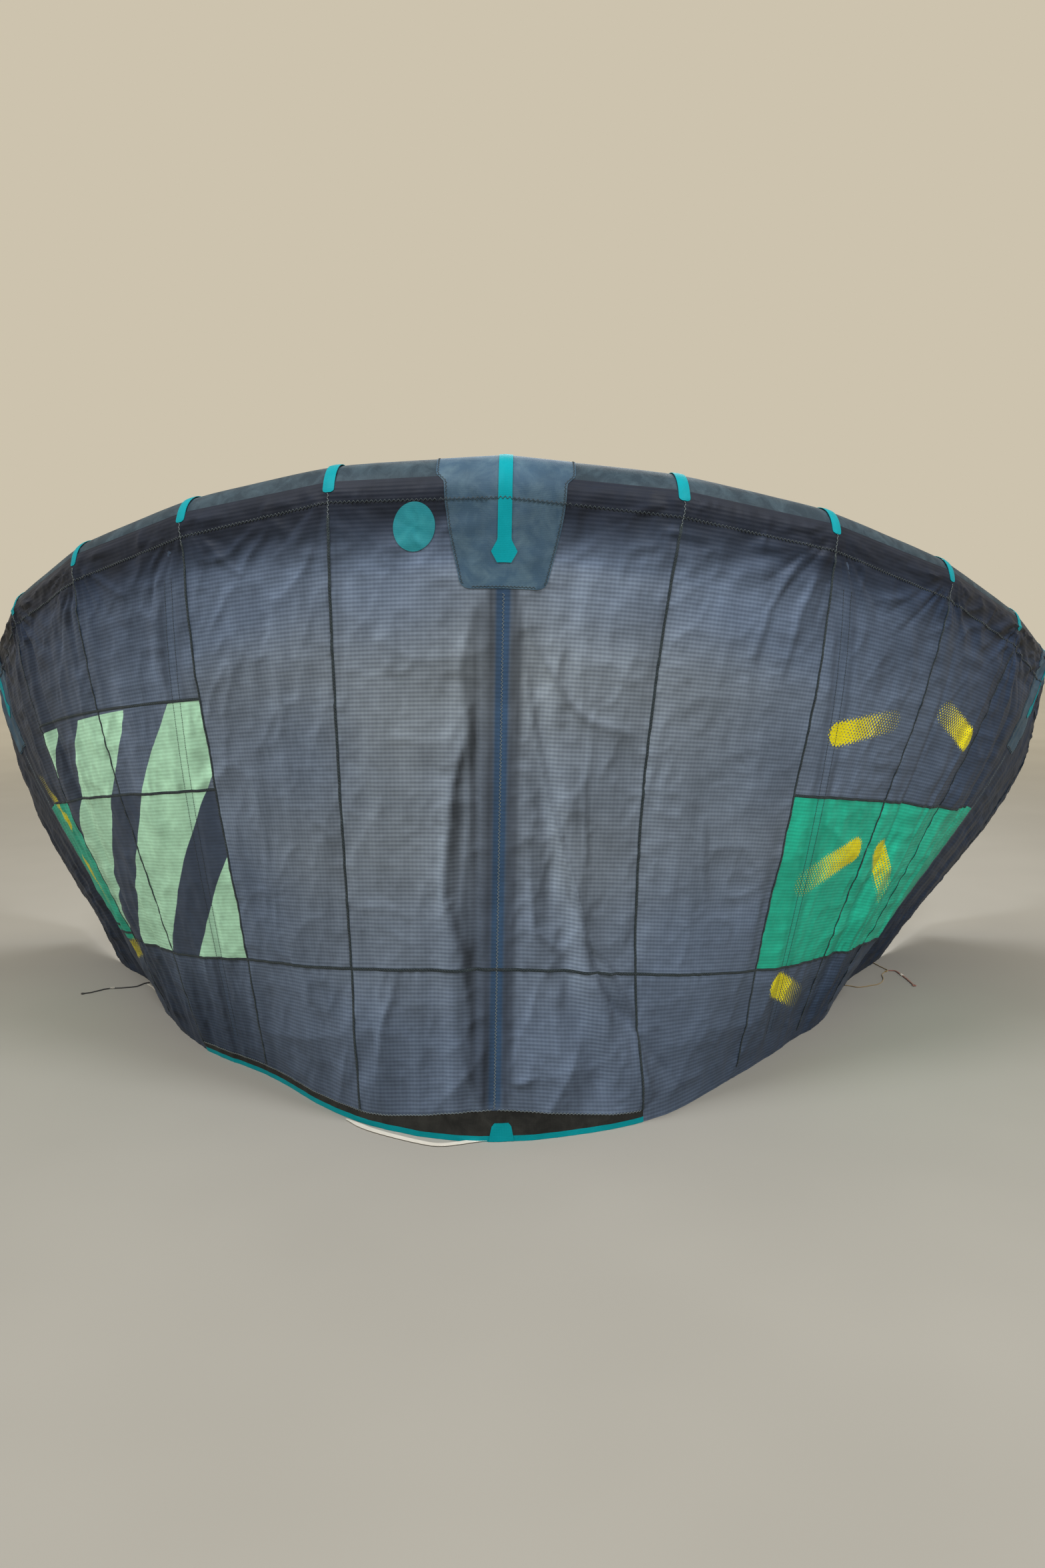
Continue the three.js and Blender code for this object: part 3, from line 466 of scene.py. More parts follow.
def wrinkle_height(u, t):
    """Creases and wrinkles everywhere, and the soft upright folds of the wings."""
    a, b = u * FOLD_ACROSS, t * FOLD_DOWN
    outer = smoothstep(np.abs(u), 1.2, 4.5)
    free = smoothstep(t, 0.03, 0.12)
    near_tube = smoothstep(t, 0.0, 0.012) * (1 - smoothstep(t, 0.06, 0.15))
    height = (0.0030 + 0.0050 * outer) * noise(a / 0.085 + b * 0.6, b / 0.60, 1) * free
    height += (0.0014 + 0.0022 * outer) * noise(a / 0.034 + 3, b / 0.34, 2) * free
    height += 0.0028 * crumple(a / 0.17 - b * 1.1, b / 0.21, 3) * free
    height += 0.0014 * crumple(a / 0.060 + b * 3, b / 0.090, 4)
    height += 0.0008 * crumple(a / 0.024 - b * 9, b / 0.040, 12)
    height += (0.0032 + 0.0016 * outer) * crumple(a / 0.075 + b * 5, b / 0.055, 6) * near_tube
    height += 0.0016 * outer * noise(a / 0.20, b / 0.030, 7) * free
    low = smoothstep(t, 0.70, 0.90)
    height += 0.0040 * low * crumple(a / 0.16 + b / 0.4, b / 0.22, 8)
    height = height * smoothstep(strut_distance(u, t), 0.010, 0.040)
    return height * (1 - 0.5 * smoothstep(t, 0.95, 1))


def pucker_height(u, t):
    """Small puckers where the seams draw the cloth in."""
    beside = np.abs(u - np.round(u)) * FOLD_ACROSS
    along = noise(np.round(u) * 7.7 + np.sign(u - np.round(u)) * 3.1, t * FOLD_DOWN / 0.016, 14)
    height = 0.0013 * along * np.exp(-beside / 0.014) * (np.abs(u) > 0.5)
    for seam, far in ((lower_seam(u), 0.0), (UPPER_SEAM, 1.95)):
        above = np.abs(t - seam) * FOLD_DOWN
        drawn_in = np.exp(-above / 0.012) * (np.abs(u) > far)
        height += 0.0011 * noise(u * FOLD_ACROSS / 0.015, 0 * u + far, 15) * drawn_in
    return height


def billow(u, t):
    """Each panel fills a little between its seams."""
    f = np.abs(u) - np.floor(np.abs(u))
    bulge = 0.0035 * (4 * f * (1 - f)) ** 0.8
    return bulge * smoothstep(t, 0.04, 0.2) * (1 - smoothstep(t, 0.85, 1))


def cloth(u, t):
    """The creased cloth's own face, and the way out of it."""
    u, t = np.broadcast_arrays(np.asarray(u, float), np.asarray(t, float))
    out = outwards(u, t)
    shapes = (fold_height, fan_height, wrinkle_height, pucker_height, billow)
    height = sum(shape(u, t) for shape in shapes)
    height = height * smoothstep(t, 0.0, 0.02)
    # Where the cloth lies on the tube it can only stand away from it.
    height = height + (np.abs(height) - height) * (1 - smoothstep(t, LEAVES_TUBE, 0.06))
    return plain_point(u, t) + out * height[..., None] - ORIGIN, out


def above_cloth(u, t, offset):
    """A point that far above the cloth, and never under the floor."""
    point, out = cloth(u, t)
    point = point + out * offset
    point[..., 2] = np.maximum(point[..., 2], 0)
    return point


def lower_seam(u):
    return 0.73 + np.where(u < 0, 0.053, 0.075) * smoothstep(np.abs(u), 0, 3)


def band_top(u):
    return 0.951 + 0.029 * smoothstep(np.abs(u), 0, 1)


# Where each band of the canopy starts, down the chord at u, and where the last one ends.
BAND_STARTS = (
    lambda u: 0 * u, lambda u: 0 * u + LEAVES_TUBE, lambda u: 0 * u + UPPER_SEAM,
    lower_seam, band_top, lambda u: 0 * u + TAPE_TOP, lambda u: 0 * u + 1,
)


def laid(u0, t0, x, y):
    """The place (u, t) of a point x to the right of and y up from (u0, t0), along the cloth."""
    ts = np.linspace(-0.12, 1, 600)
    run = run_of(plain_point(u0, ts))
    t = np.interp(np.interp(t0, ts, run) - y, run, ts)
    here = plain_point(u0, t)
    right = np.linalg.norm(plain_point(u0 + 0.05, t) - here, axis=-1) / 0.05
    left = np.linalg.norm(plain_point(u0 - 0.05, t) - here, axis=-1) / 0.05
    return u0 + x / np.where(x > 0, right, left), t


# ------------------------------------------------------------------ making meshes


def select_only(obj):
    bpy.ops.object.select_all(action="DESELECT")
    obj.select_set(True)
    bpy.context.view_layer.objects.active = obj


def new_object(name, points, faces, uvs):
    """A mesh object from points, quads, and one UV in metres for each corner of each quad."""
    mesh = bpy.data.meshes.new(name)
    mesh.vertices.add(len(points))
    mesh.vertices.foreach_set("co", np.asarray(points, np.float32).ravel())
    mesh.loops.add(faces.size)
    mesh.loops.foreach_set("vertex_index", faces.astype(np.int32).ravel())
    mesh.polygons.add(len(faces))
    mesh.polygons.foreach_set("loop_start", np.arange(0, faces.size, 4, dtype=np.int32))
    layer = mesh.uv_layers.new(name="cloth")
    layer.data.foreach_set("uv", np.asarray(uvs, np.float32).ravel())
    mesh.update(calc_edges=True)
    obj = bpy.data.objects.new(name, mesh)
    bpy.context.scene.collection.objects.link(obj)
    return obj


def grid(name, points, uv, wrap=False, attributes=None):
    """A sheet from rows of points, top to bottom and left to right as seen from outside."""
    rows, columns = points.shape[:2]
    quads = columns if wrap else columns - 1
    i, j = np.meshgrid(np.arange(rows - 1), np.arange(quads), indexing="ij")
    corners = [(i, j), (i + 1, j), (i + 1, j + 1), (i, j + 1)]
    faces = np.stack([a * columns + b % columns for a, b in corners], -1).reshape(-1, 4)
    uvs = np.stack([uv[a, b] for a, b in corners], -2)
    obj = new_object(name, points.reshape(-1, 3), faces, uvs)
    for key, values in (attributes or {}).items():
        layer = obj.data.attributes.new(key, "FLOAT", "POINT")
        layer.data.foreach_set("value", np.asarray(values, np.float32).ravel())
    return obj


def smooth(obj, angle=40):
    select_only(obj)
    bpy.ops.object.shade_smooth_by_angle(angle=math.radians(angle))


def thicken(obj, thickness):
    """Give a sheet its thickness, inwards from its face."""
    select_only(obj)
    bpy.ops.object.modifier_add(type="SOLIDIFY")
    obj.modifiers[-1].thickness = thickness
    obj.modifiers[-1].offset = -1
    bpy.ops.object.modifier_apply(modifier=obj.modifiers[-1].name)
    smooth(obj)


def edit(obj, *changes):
    """Make changes, each a function of the mesh as a bmesh, to an object."""
    made = bmesh.new()
    made.from_mesh(obj.data)
    for change in changes:
        change(made)
    made.to_mesh(obj.data)
    made.free()


def fill_holes(made):
    bmesh.ops.holes_fill(made, edges=[e for e in made.edges if e.is_boundary], sides=0)


def face_out(made):
    bmesh.ops.recalc_face_normals(made, faces=made.faces)


def turn_over(made):
    bmesh.ops.reverse_faces(made, faces=made.faces)


def close_ends(obj):
    """Close a tube's open ends and turn its faces out."""
    edit(obj, fill_holes, face_out)
    smooth(obj, 50)


def round_line(line, out, across, angle, radius):
    """Points round each point of a line, that far from it, at each angle from out to across."""
    return (line[:, None] + out[:, None] * (np.cos(angle) * radius)[..., None]
            + across[:, None] * (np.sin(angle) * radius)[..., None])


DOME_ANGLES = np.radians((15, 30, 45, 60, 72, 82))


def domed(last, centre, reach):
    """Rings that round off a pumped-up end beyond its last ring."""
    return np.array([centre + (last - centre) * math.cos(angle) + reach * math.sin(angle)
                     for angle in DOME_ANGLES])


def flat_uv(points, wrap=False):
    """UVs in metres along a grid's rows and columns, from its middle."""
    wide = np.concatenate([points, points[:, :1]], 1) if wrap else points
    across = np.linalg.norm(np.diff(wide, axis=1), axis=2)
    across = np.concatenate([np.zeros((len(points), 1)), np.cumsum(across, axis=1)], 1)
    across = across - across[:, wide.shape[1] // 2][:, None]
    middle = wide[:, wide.shape[1] // 2]
    down = run_of(middle)
    return np.stack([across, np.broadcast_to(-down[:, None], across.shape)], -1)


def tube_along(name, line, radius, sides, closed=False, flatten=None):
    """A tube along a line, with closed ends, or a ring if closed. flatten gives the share of the
    radius at each angle."""
    line = np.asarray(line, float)
    after = np.roll(line, -1, 0) if closed else np.vstack([line[1:], line[-1:] * 2 - line[-2:-1]])
    before = np.roll(line, 1, 0) if closed else np.vstack([line[:1] * 2 - line[1:2], line[:-1]])
    tangents = unit(after - before)
    side = np.cross(tangents[0], (0.0, 0.0, 1.0))
    if np.linalg.norm(side) < 0.1:
        side = np.cross(tangents[0], (1.0, 0.0, 0.0))
    sides_along = []
    for tangent in tangents:
        side = side - tangent * side.dot(tangent)
        side = side / np.linalg.norm(side)
        sides_along.append(side)
    side = np.array(sides_along)
    up = np.cross(side, tangents)
    angle = angles_round(sides)
    width = np.broadcast_to(np.asarray(radius, float), (len(line),))[:, None]
    lobes = np.ones(sides) if flatten is None else flatten(angle)
    points = round_line(line, side, up, angle, width * lobes)
    around = np.linspace(0, 1, sides + 1) * 2 * np.pi * width.max()
    uv = np.stack(np.broadcast_arrays(around[None], run_of(line)[:, None]), -1)
    if closed:
        points = np.concatenate([points, points[:1]])
        uv = np.concatenate([uv, uv[-1:]])
    obj = grid(name, points, uv, wrap=True)
    if closed:
        edit(obj, lambda made: bmesh.ops.remove_doubles(made, verts=made.verts, dist=1e-6))
    close_ends(obj)
    return obj


def through(points, steps):
    """A smooth curve through points, at that many equal steps."""
    points = np.asarray(points, float)
    padded = np.vstack([points[:1] * 2 - points[1:2], points, points[-1:] * 2 - points[-2:-1]])
    found = []
    for k in range(len(points) - 1):
        a, b, c, d = padded[k:k + 4]
        f = np.linspace(0, 1, 24, endpoint=False)[:, None]
        found.append(0.5 * (2 * b + (c - a) * f + (2 * a - 5 * b + 4 * c - d) * f ** 2
                            + (3 * b - a - 3 * c + d) * f ** 3))
    fine = np.vstack(found + [points[-1:]])
    return along_line(run_of(fine), fine, steps)


def join(name, pieces):
    """Join small pieces of one kind into one object."""
    bpy.ops.object.select_all(action="DESELECT")
    for piece in pieces:
        piece.select_set(True)
    bpy.context.view_layer.objects.active = pieces[0]
    if len(pieces) > 1:
        bpy.ops.object.join()
    pieces[0].name = name
    pieces[0].data.name = name
    return pieces[0]


def sewn(obj, material, slot, *nodes):
    """Give a finished piece its material and hang it on the kite."""
    obj.data.materials.clear()
    obj.data.materials.append(finish_of(material))
    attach(obj, "root")
    if nodes:
        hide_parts(*nodes)
    return obj


# ------------------------------------------------------------------ materials

MIX_A, MIX_B, MIX_OUT = 6, 7, 2  # the colour sockets of a Mix node


def node(tree, kind, inputs=None, out=0, **settings):
    """Add a node with its settings, set or link its inputs, and return one of its outputs."""
    made = tree.nodes.new("ShaderNode" + kind)
    for name, value in settings.items():
        setattr(made, name, value)
    for key, value in (inputs or {}).items():
        if isinstance(value, bpy.types.NodeSocket):
            tree.links.new(value, made.inputs[key])
        else:
            made.inputs[key].default_value = value
    return made.outputs[out]


def place_on_cloth(tree):
    """Where each point is on the flat cloth, as X and Y in metres."""
    return node(tree, "SeparateXYZ", {0: node(tree, "UVMap", uv_map="cloth")}).node.outputs


def new_material(name, roughness, specular, sheen=0.0):
    material = bpy.data.materials.new(name)
    material.use_nodes = True
    shader = material.node_tree.nodes["Principled BSDF"]
    shader.inputs["Roughness"].default_value = roughness
    shader.inputs["Specular IOR Level"].default_value = specular
    shader.inputs["Sheen Weight"].default_value = sheen
    return material, material.node_tree, shader


def dress(tree, shader, colour, height, distance, strength):
    """Give a material its colour, and a surface that stands up with height."""
    bump = node(tree, "Bump", {"Height": height, "Distance": distance, "Strength": strength})
    tree.links.new(colour, shader.inputs["Base Color"])
    tree.links.new(bump, shader.inputs["Normal"])


def waves(tree, coordinate, pitch):
    """A soft wave from 0 to 1 along a coordinate in metres."""
    turned = node(tree, "Math", {0: coordinate, 1: 2 * math.pi / pitch}, operation="MULTIPLY")
    wave = node(tree, "Math", {0: turned}, operation="SINE")
    return node(tree, "MapRange", {0: wave, 1: -1.0, 2: 1.0, 3: 0.0, 4: 1.0})


def slanted_waves(tree, place, pitch):
    """Waves along both diagonals of the cloth, as the two inputs of a node."""
    slants = (node(tree, "Math", {0: place["X"], 1: place["Y"]}, operation=way)
              for way in ("ADD", "SUBTRACT"))
    return {key: waves(tree, slant, pitch) for key, slant in enumerate(slants)}


def blotches(tree, scale, low, high, detail=3.0):
    """Uneven tone over an object, as a factor about 1."""
    place = node(tree, "TexCoord", out="Object")
    found = node(tree, "TexNoise",
                 {"Vector": place, "Scale": scale, "Detail": detail, "Roughness": 0.6})
    return node(tree, "MapRange", {0: found, 1: 0.3, 2: 0.7, 3: low, 4: high})


def ripstop(name, cloth_settings, lit, middle, in_shade, painted_shade, contrast, bars, printed=True,
            crease_light_depth=1.5):
    """Ripstop polyester: a calendered plain weave with a doubled thread about every 6 mm, so it is
    thin, a little glossy and see-through. Drawn with a thread every 10 mm, which is as fine as
    shows from where the whole kite is seen."""
    material, tree, shader = new_material(name, 0.55, 0.22)
    place = place_on_cloth(tree)
    glow, painted_shade_amount, on_strut, inside, crease_light = (
        node(tree, "Attribute", attribute_name=key, out="Fac")
        for key in ("glow", "painted_shade", "on_strut", "bars", "painted_crease_light")
    )
    across, down = (waves(tree, place[axis], cloth_settings.pitch) for axis in ("Y", "X"))
    crossed = node(tree, "Math", {0: down, 1: 0.35, 2: across}, operation="MULTIPLY_ADD")
    # The threads show least where the painted shade makes the cloth dark already.
    seen = node(tree, "Math", {0: painted_shade_amount, 1: -0.85, 2: 1.0}, operation="MULTIPLY_ADD")
    threads = node(tree, "Math", {0: crossed, 1: seen}, operation="MULTIPLY")
    threads = node(tree, "Math", {0: threads, 1: contrast}, operation="MULTIPLY")
    # Painted light and shade: the glow mixes the shaded copy of the cloth's colour into its
    # half-lit and lit copies.
    lower = node(tree, "MapRange", {0: glow, 1: 0.0, 2: 0.6, 3: 0.0, 4: 1.0})
    upper = node(tree, "MapRange", {0: glow, 1: 0.6, 2: 1.0, 3: 0.0, 4: 1.0})
    inside = node(tree, "MapRange", {0: inside, 1: -0.0006, 2: 0.0006, 3: 0.0, 4: 1.0})
    colour = in_shade
    for share, lighter in ((lower, middle), (upper, lit)):
        colour = node(tree, "Mix", {0: share, MIX_A: colour, MIX_B: lighter}, data_type="RGBA",
                      out=MIX_OUT)
    dark = node(tree, "Mix", {0: 1.0, MIX_A: colour, MIX_B: (0.30, 0.32, 0.38, 1)},
                data_type="RGBA", blend_type="MULTIPLY", out=MIX_OUT)
    # Painted shade from the tube, the struts and the folds goes over the threads and the strut's
    # blue.
    layers = [(threads, dark), (on_strut, cloth_settings.strut), (painted_shade_amount, painted_shade), (inside, bars)]
    if printed:
        layers.append((halftone(tree, place, cloth_settings), cloth_settings.print))
    for share, layer in layers:
        colour = node(tree, "Mix", {0: share, MIX_A: colour, MIX_B: layer},
                      data_type="RGBA", out=MIX_OUT)
    tone = blotches(tree, 9.0, 0.86, 1.12)
    # Painted light and shade on the creases' slopes scales the tone.
    crease_light = node(tree, "Math", {0: crease_light, 1: crease_light_depth, 2: 1.0}, operation="MULTIPLY_ADD")
    for factor in (blotches(tree, 60.0, 0.93, 1.06, detail=5.0), crease_light):
        tone = node(tree, "Math", {0: tone, 1: factor}, operation="MULTIPLY")
    toned = node(tree, "VectorMath", {0: colour, "Scale": tone}, operation="SCALE")
    # Sharp little creases, as in any thin coated cloth that has been rolled up.
    creases = node(tree, "TexNoise", {"Vector": node(tree, "TexCoord", out="Object"), "Scale": 9.0,
                                      "Detail": 5.0, "Roughness": 0.62, "Distortion": 0.5},
                   noise_type="RIDGED_MULTIFRACTAL")
    height = node(tree, "Math", {0: creases, 1: 11.0, 2: across}, operation="MULTIPLY_ADD")
    dress(tree, shader, toned, height, 0.00035, 1.0)
    return material


def halftone(tree, place, cloth_settings):
    """Printed dots that grow until they meet, where the print is dense."""
    dense = node(tree, "Attribute", attribute_name="print", out="Fac")
    pitch = cloth_settings.pitch * 1.3
    dots = node(tree, "Math", slanted_waves(tree, place, pitch), operation="ADD")
    wanted = node(tree, "Math", {0: dense, 1: -2.0, 2: 2.0}, operation="MULTIPLY_ADD")
    above = node(tree, "Math", {0: dots, 1: wanted}, operation="SUBTRACT")
    return node(tree, "MapRange", {0: above, 1: 0.0, 2: 0.25, 3: 0.0, 4: 1.0})


WEAVE = 0.004  # coarser than the real 0.5 mm, so that it shows


def woven(name, colour, roughness, worn, mottle=0.16, specular=0.3):
    """Woven polyester with a hard finish, such as sailcloth, webbing or insignia tape. Scuffs
    lighten it in patches."""
    material, tree, shader = new_material(name, roughness, specular)
    place = place_on_cloth(tree)
    rubbed = node(tree, "TexNoise", {"Vector": node(tree, "TexCoord", out="Object"), "Scale": 22.0,
                                     "Detail": 6.0, "Roughness": 0.65, "Distortion": 0.6})
    rubbed = node(tree, "MapRange", {0: rubbed, 1: 0.42, 2: 0.75, 3: 0.0, 4: 0.65})
    mixed = node(tree, "Mix", {0: rubbed, MIX_A: colour, MIX_B: worn},
                 data_type="RGBA", out=MIX_OUT)
    tone = blotches(tree, 6.0, 1 - mottle, 1 + mottle, detail=4.0)
    toned = node(tree, "VectorMath", {0: mixed, "Scale": tone}, operation="SCALE")
    weave = {key: waves(tree, place[axis], WEAVE) for key, axis in enumerate("XY")}
    threads = node(tree, "Math", weave, operation="ADD")
    height = node(tree, "Math", {0: rubbed, 1: 2.0, 2: threads}, operation="MULTIPLY_ADD")
    dress(tree, shader, toned, height, 0.0002, 0.5)
    return material


def braid(name, colour, other, diameter):
    """Braided polyester line, twelve strands: a diamond pattern about one diameter long."""
    material, tree, shader = new_material(name, 0.7, 0.3, sheen=0.2)
    place = place_on_cloth(tree)
    strands = node(tree, "Math", slanted_waves(tree, place, diameter), operation="MULTIPLY")
    mixed = node(tree, "Mix", {0: strands, MIX_A: colour, MIX_B: other},
                 data_type="RGBA", out=MIX_OUT)
    dress(tree, shader, mixed, strands, 0.0005, 0.8)
    return material


def finish_of(name):
    """The material of that name, made when it is first asked for."""
    if name in bpy.data.materials:
        return bpy.data.materials[name]
    scene = bpy.context.scene
    c, trim, cords = scene.kite_cloth, scene.kite_trim, scene.kite_cords
    makers = {
        "navy ripstop": lambda n: ripstop(n, c, c.light, c.middle, c.in_shade, c.painted_shade, 0.42, c.mint),
        "green ripstop": lambda n: ripstop(n, c, c.green, c.green, c.green, c.green_painted_shade, 0.16,
                                           c.bar, crease_light_depth=0.9),
        "mint ripstop": lambda n: ripstop(n, c, c.mint, c.mint, c.mint, c.mint, 0.08, c.bar,
                                          printed=False, crease_light_depth=0.6),
        "slate sailcloth": lambda n: woven(n, trim.slate, 0.62, linear("#4A606E")),
        "patch sailcloth": lambda n: woven(n, trim.patch_slate, 0.62, linear("#587282"),
                                           mottle=0.22),
        "insignia cloth": lambda n: woven(n, trim.insignia, 0.6, linear("#2F97A2"), mottle=0.2),
        "turquoise webbing": lambda n: woven(n, trim.turquoise, 0.55, linear("#0A9AAA"),
                                             mottle=0.10, specular=0.1),
        "black band": lambda n: woven(n, trim.black, 0.6, linear("#3B3C3B"), mottle=0.2),
        "strut cloth": lambda n: woven(n, trim.bladder, 0.6, linear("#50617A"), mottle=0.1),
        "seam tape": lambda n: woven(n, trim.seam, 0.7, linear("#3E4C55"), mottle=0.1),
        "white lining": lambda n: woven(n, trim.lining, 0.7, linear("#E8E6E0"), mottle=0.05),
        "light thread": lambda n: braid(n, trim.stitch, linear("#8A8F92"), trim.thread * 2),
        "dark thread": lambda n: braid(n, trim.seam, linear("#4A5A62"), trim.thread * 2),
        "dark braid": lambda n: braid(n, cords.dark, linear("#6C6E72"), cords.bridle),
        "tan braid": lambda n: braid(n, cords.tan, linear("#7B6A4A"), cords.bridle),
        "red braid": lambda n: braid(n, cords.red, linear("#C9BEB0"), cords.bridle),
    }
    return makers[name](name)


# ------------------------------------------------------------------ pieces of cloth


# Painted light and shade: how much light the cloth seems to let through, and how dark the wings
# turn where they face away. A row for each t below, and a column for each joint from the centre
# out, from 0 on the wings to 1 below the tube at the centre.
GLOW_AT = (0.05, 0.15, 0.30, 0.50, 0.70, 0.95)
GLOW = (
    (0.20, 0.16, 0.06, 0.00, 0.00, 0.00, 0.00),
    (0.80, 0.64, 0.42, 0.24, 0.06, 0.00, 0.00),
    (1.00, 0.88, 0.70, 0.46, 0.10, 0.00, 0.00),
    (0.84, 0.78, 0.72, 0.55, 0.14, 0.02, 0.00),
    (0.68, 0.66, 0.54, 0.36, 0.10, 0.02, 0.00),
    (0.54, 0.44, 0.24, 0.10, 0.02, 0.00, 0.00),
)


def glow_at(u, t):
    """Painted light: how much light the cloth seems to let through, low on the shaded wings."""
    rows = [np.interp(np.abs(u), range(7), row) for row in GLOW]
    light = rows[0]
    for low, high, row in zip(GLOW_AT, GLOW_AT[1:], rows[1:]):
        light = light + (row - light) * smoothstep(t, low, high)
    return np.clip(light * (1 + 0.14 * noise(u * 1.6, t * 5, 21)), 0, 1)


def painted_shade_at(u, t):
    """Painted shade on the cloth: darker where the tube and the struts lie behind it, and along its
    own folds.
    """
    # Painted shade where the tube lies behind the cloth, fading out down the chord.
    radius = np.interp(u, np.arange(-TIP, TIP + 1), RADIUS)
    depth = t * FOLD_DOWN + 0.022 * noise(u * 3.1, t * 6, 22) + 0.012 * noise(u * 9, t * 18, 23)
    dark = 1 - smoothstep(depth, radius * 0.45, radius * 2.1)
    # Painted shade in a line along each side of each strut.
    for strut in STRUTS:
        across = np.abs(from_strut(u, t, strut))
        below = smoothstep(t, 0.10, 0.17) * (1 - smoothstep(t, 0.93, 0.97))
        edge = np.exp(-(((across - 0.028) / 0.011) ** 2)) * (0.70 if strut[5] > 0.5 else 0.35)
        dark = np.maximum(dark, edge * below)
    # Painted shade in the valley where the cloth sags on the left of the centre strut, and less on
    # the right of it.
    beside = from_strut(u, t, STRUTS[0])
    reach = np.where(beside < 0, 0.034 + 0.012 * noise(t * 6, 0 * t, 24), 0.012)
    painted_valley_shade = np.exp(-((np.maximum(np.abs(beside) - 0.040, 0) / reach) ** 2))
    painted_valley_shade = 0.62 * (painted_valley_shade * (np.abs(beside) > 0.020))
    below = smoothstep(t, 0.14, 0.22)
    dark = np.maximum(dark, painted_valley_shade * below * (1 - smoothstep(t, 0.90, 0.96)))
    # Painted shade along the sharper folds.
    for width, _, sharp, path in FOLDS:
        near = (np.abs(u - path[0][0]) < 2) & (sharp < 1.4)
        if near.any():
            distance, along = along_path(path, u[near], t[near])
            fade = np.sqrt(np.sin(np.pi * along) + 1e-9)
            line = 0.24 * np.exp(-((distance / (width * 0.8)) ** 2)) * fade
            dark[near] = np.maximum(dark[near], line)
    return np.clip(dark, 0, 1)


def on_strut_at(u, t):
    """How blue the cloth looks where it lies flat on a strut."""
    blue = np.zeros(np.shape(u))
    for strut in STRUTS:
        across = np.abs(from_strut(u, t, strut))
        below = smoothstep(t, 0.10, 0.16) * (1 - smoothstep(t, 0.93, 0.97))
        blue = np.maximum(blue, strut[5] * (1 - smoothstep(across, 0.013, 0.024)) * below)
    return blue


# Printed shapes, each a bar with round ends: from and to (u, t), half width in metres, and how
# dense the dots are at its start and its end.
PRINTS = (
    ((2.25, 0.34), (2.75, 0.30), 0.030, 1.0, 0.2),
    ((3.35, 0.26), (3.80, 0.30), 0.034, 0.3, 1.0),
    ((2.30, 0.62), (2.80, 0.56), 0.040, 0.2, 1.0),
    ((3.20, 0.56), (3.62, 0.66), 0.034, 1.0, 0.25),
    ((2.30, 0.83), (2.70, 0.88), 0.036, 1.0, 0.15),
    ((-4.75, 0.40), (-4.35, 0.50), 0.040, 0.2, 1.0),
    ((-4.60, 0.62), (-4.25, 0.70), 0.034, 1.0, 0.2),
    ((-4.30, 0.84), (-3.85, 0.80), 0.030, 0.9, 0.2),
)


def print_at(u, t):
    """How dense the printed dots are."""
    dense = np.zeros(np.shape(u))
    for start, end, half, first, last in PRINTS:
        distance, along = along_path((start, end), u, t)
        ink = first + (last - first) * along
        dense = np.maximum(dense, ink * (1 - smoothstep(distance, half - 0.006, half + 0.010)))
    return dense


def bars_at(u, t):
    """How far inside a bar of another colour each place is, in metres."""
    if 4 < np.abs(np.mean(u)) < 5 and np.mean(t) > UPPER_SEAM:
        return (t - 0.80) * FOLD_DOWN
    across = u * FOLD_ACROSS * 0.80 + t * FOLD_DOWN * 0.60 + 0.19
    inside = 0.100 - np.abs(across - np.floor(across / 0.330) * 0.330 - 0.165)
    x, y = -np.abs(u + 3.0) + 1.0, np.minimum(t - 0.30, 0.78 - t)
    if np.mean(u) > -2 or np.mean(u) < -4 or np.mean(t) > 0.8:
        return np.full(np.shape(u), -1.0)
    if np.mean(t) < UPPER_SEAM:
        return np.minimum(inside, np.minimum(x * FOLD_ACROSS, y * FOLD_DOWN))
    return -inside


def painted_crease_light_of(points, plain, out):
    """Painted light and shade of the creases: how they lean, up to the light where positive, and
    down where negative.
    """
    height = dot(points - plain, out)
    across = np.maximum(np.linalg.norm(np.gradient(plain, axis=1), axis=2), 1e-5)
    down = np.maximum(np.linalg.norm(np.gradient(plain, axis=0), axis=2), 1e-5)
    crease_light = 0.75 * np.gradient(height, axis=1) / across + 0.65 * np.gradient(height, axis=0) / down
    return np.clip(crease_light, -0.5, 0.5)


def panel_columns(low, high, cell):
    """Mesh columns between two joints, about a cell apart at the tube."""
    run = TUBE_RUN[high + TIP] - TUBE_RUN[low + TIP]
    return np.linspace(low, high, int(round(run / cell / 2)) * 2 + 1)


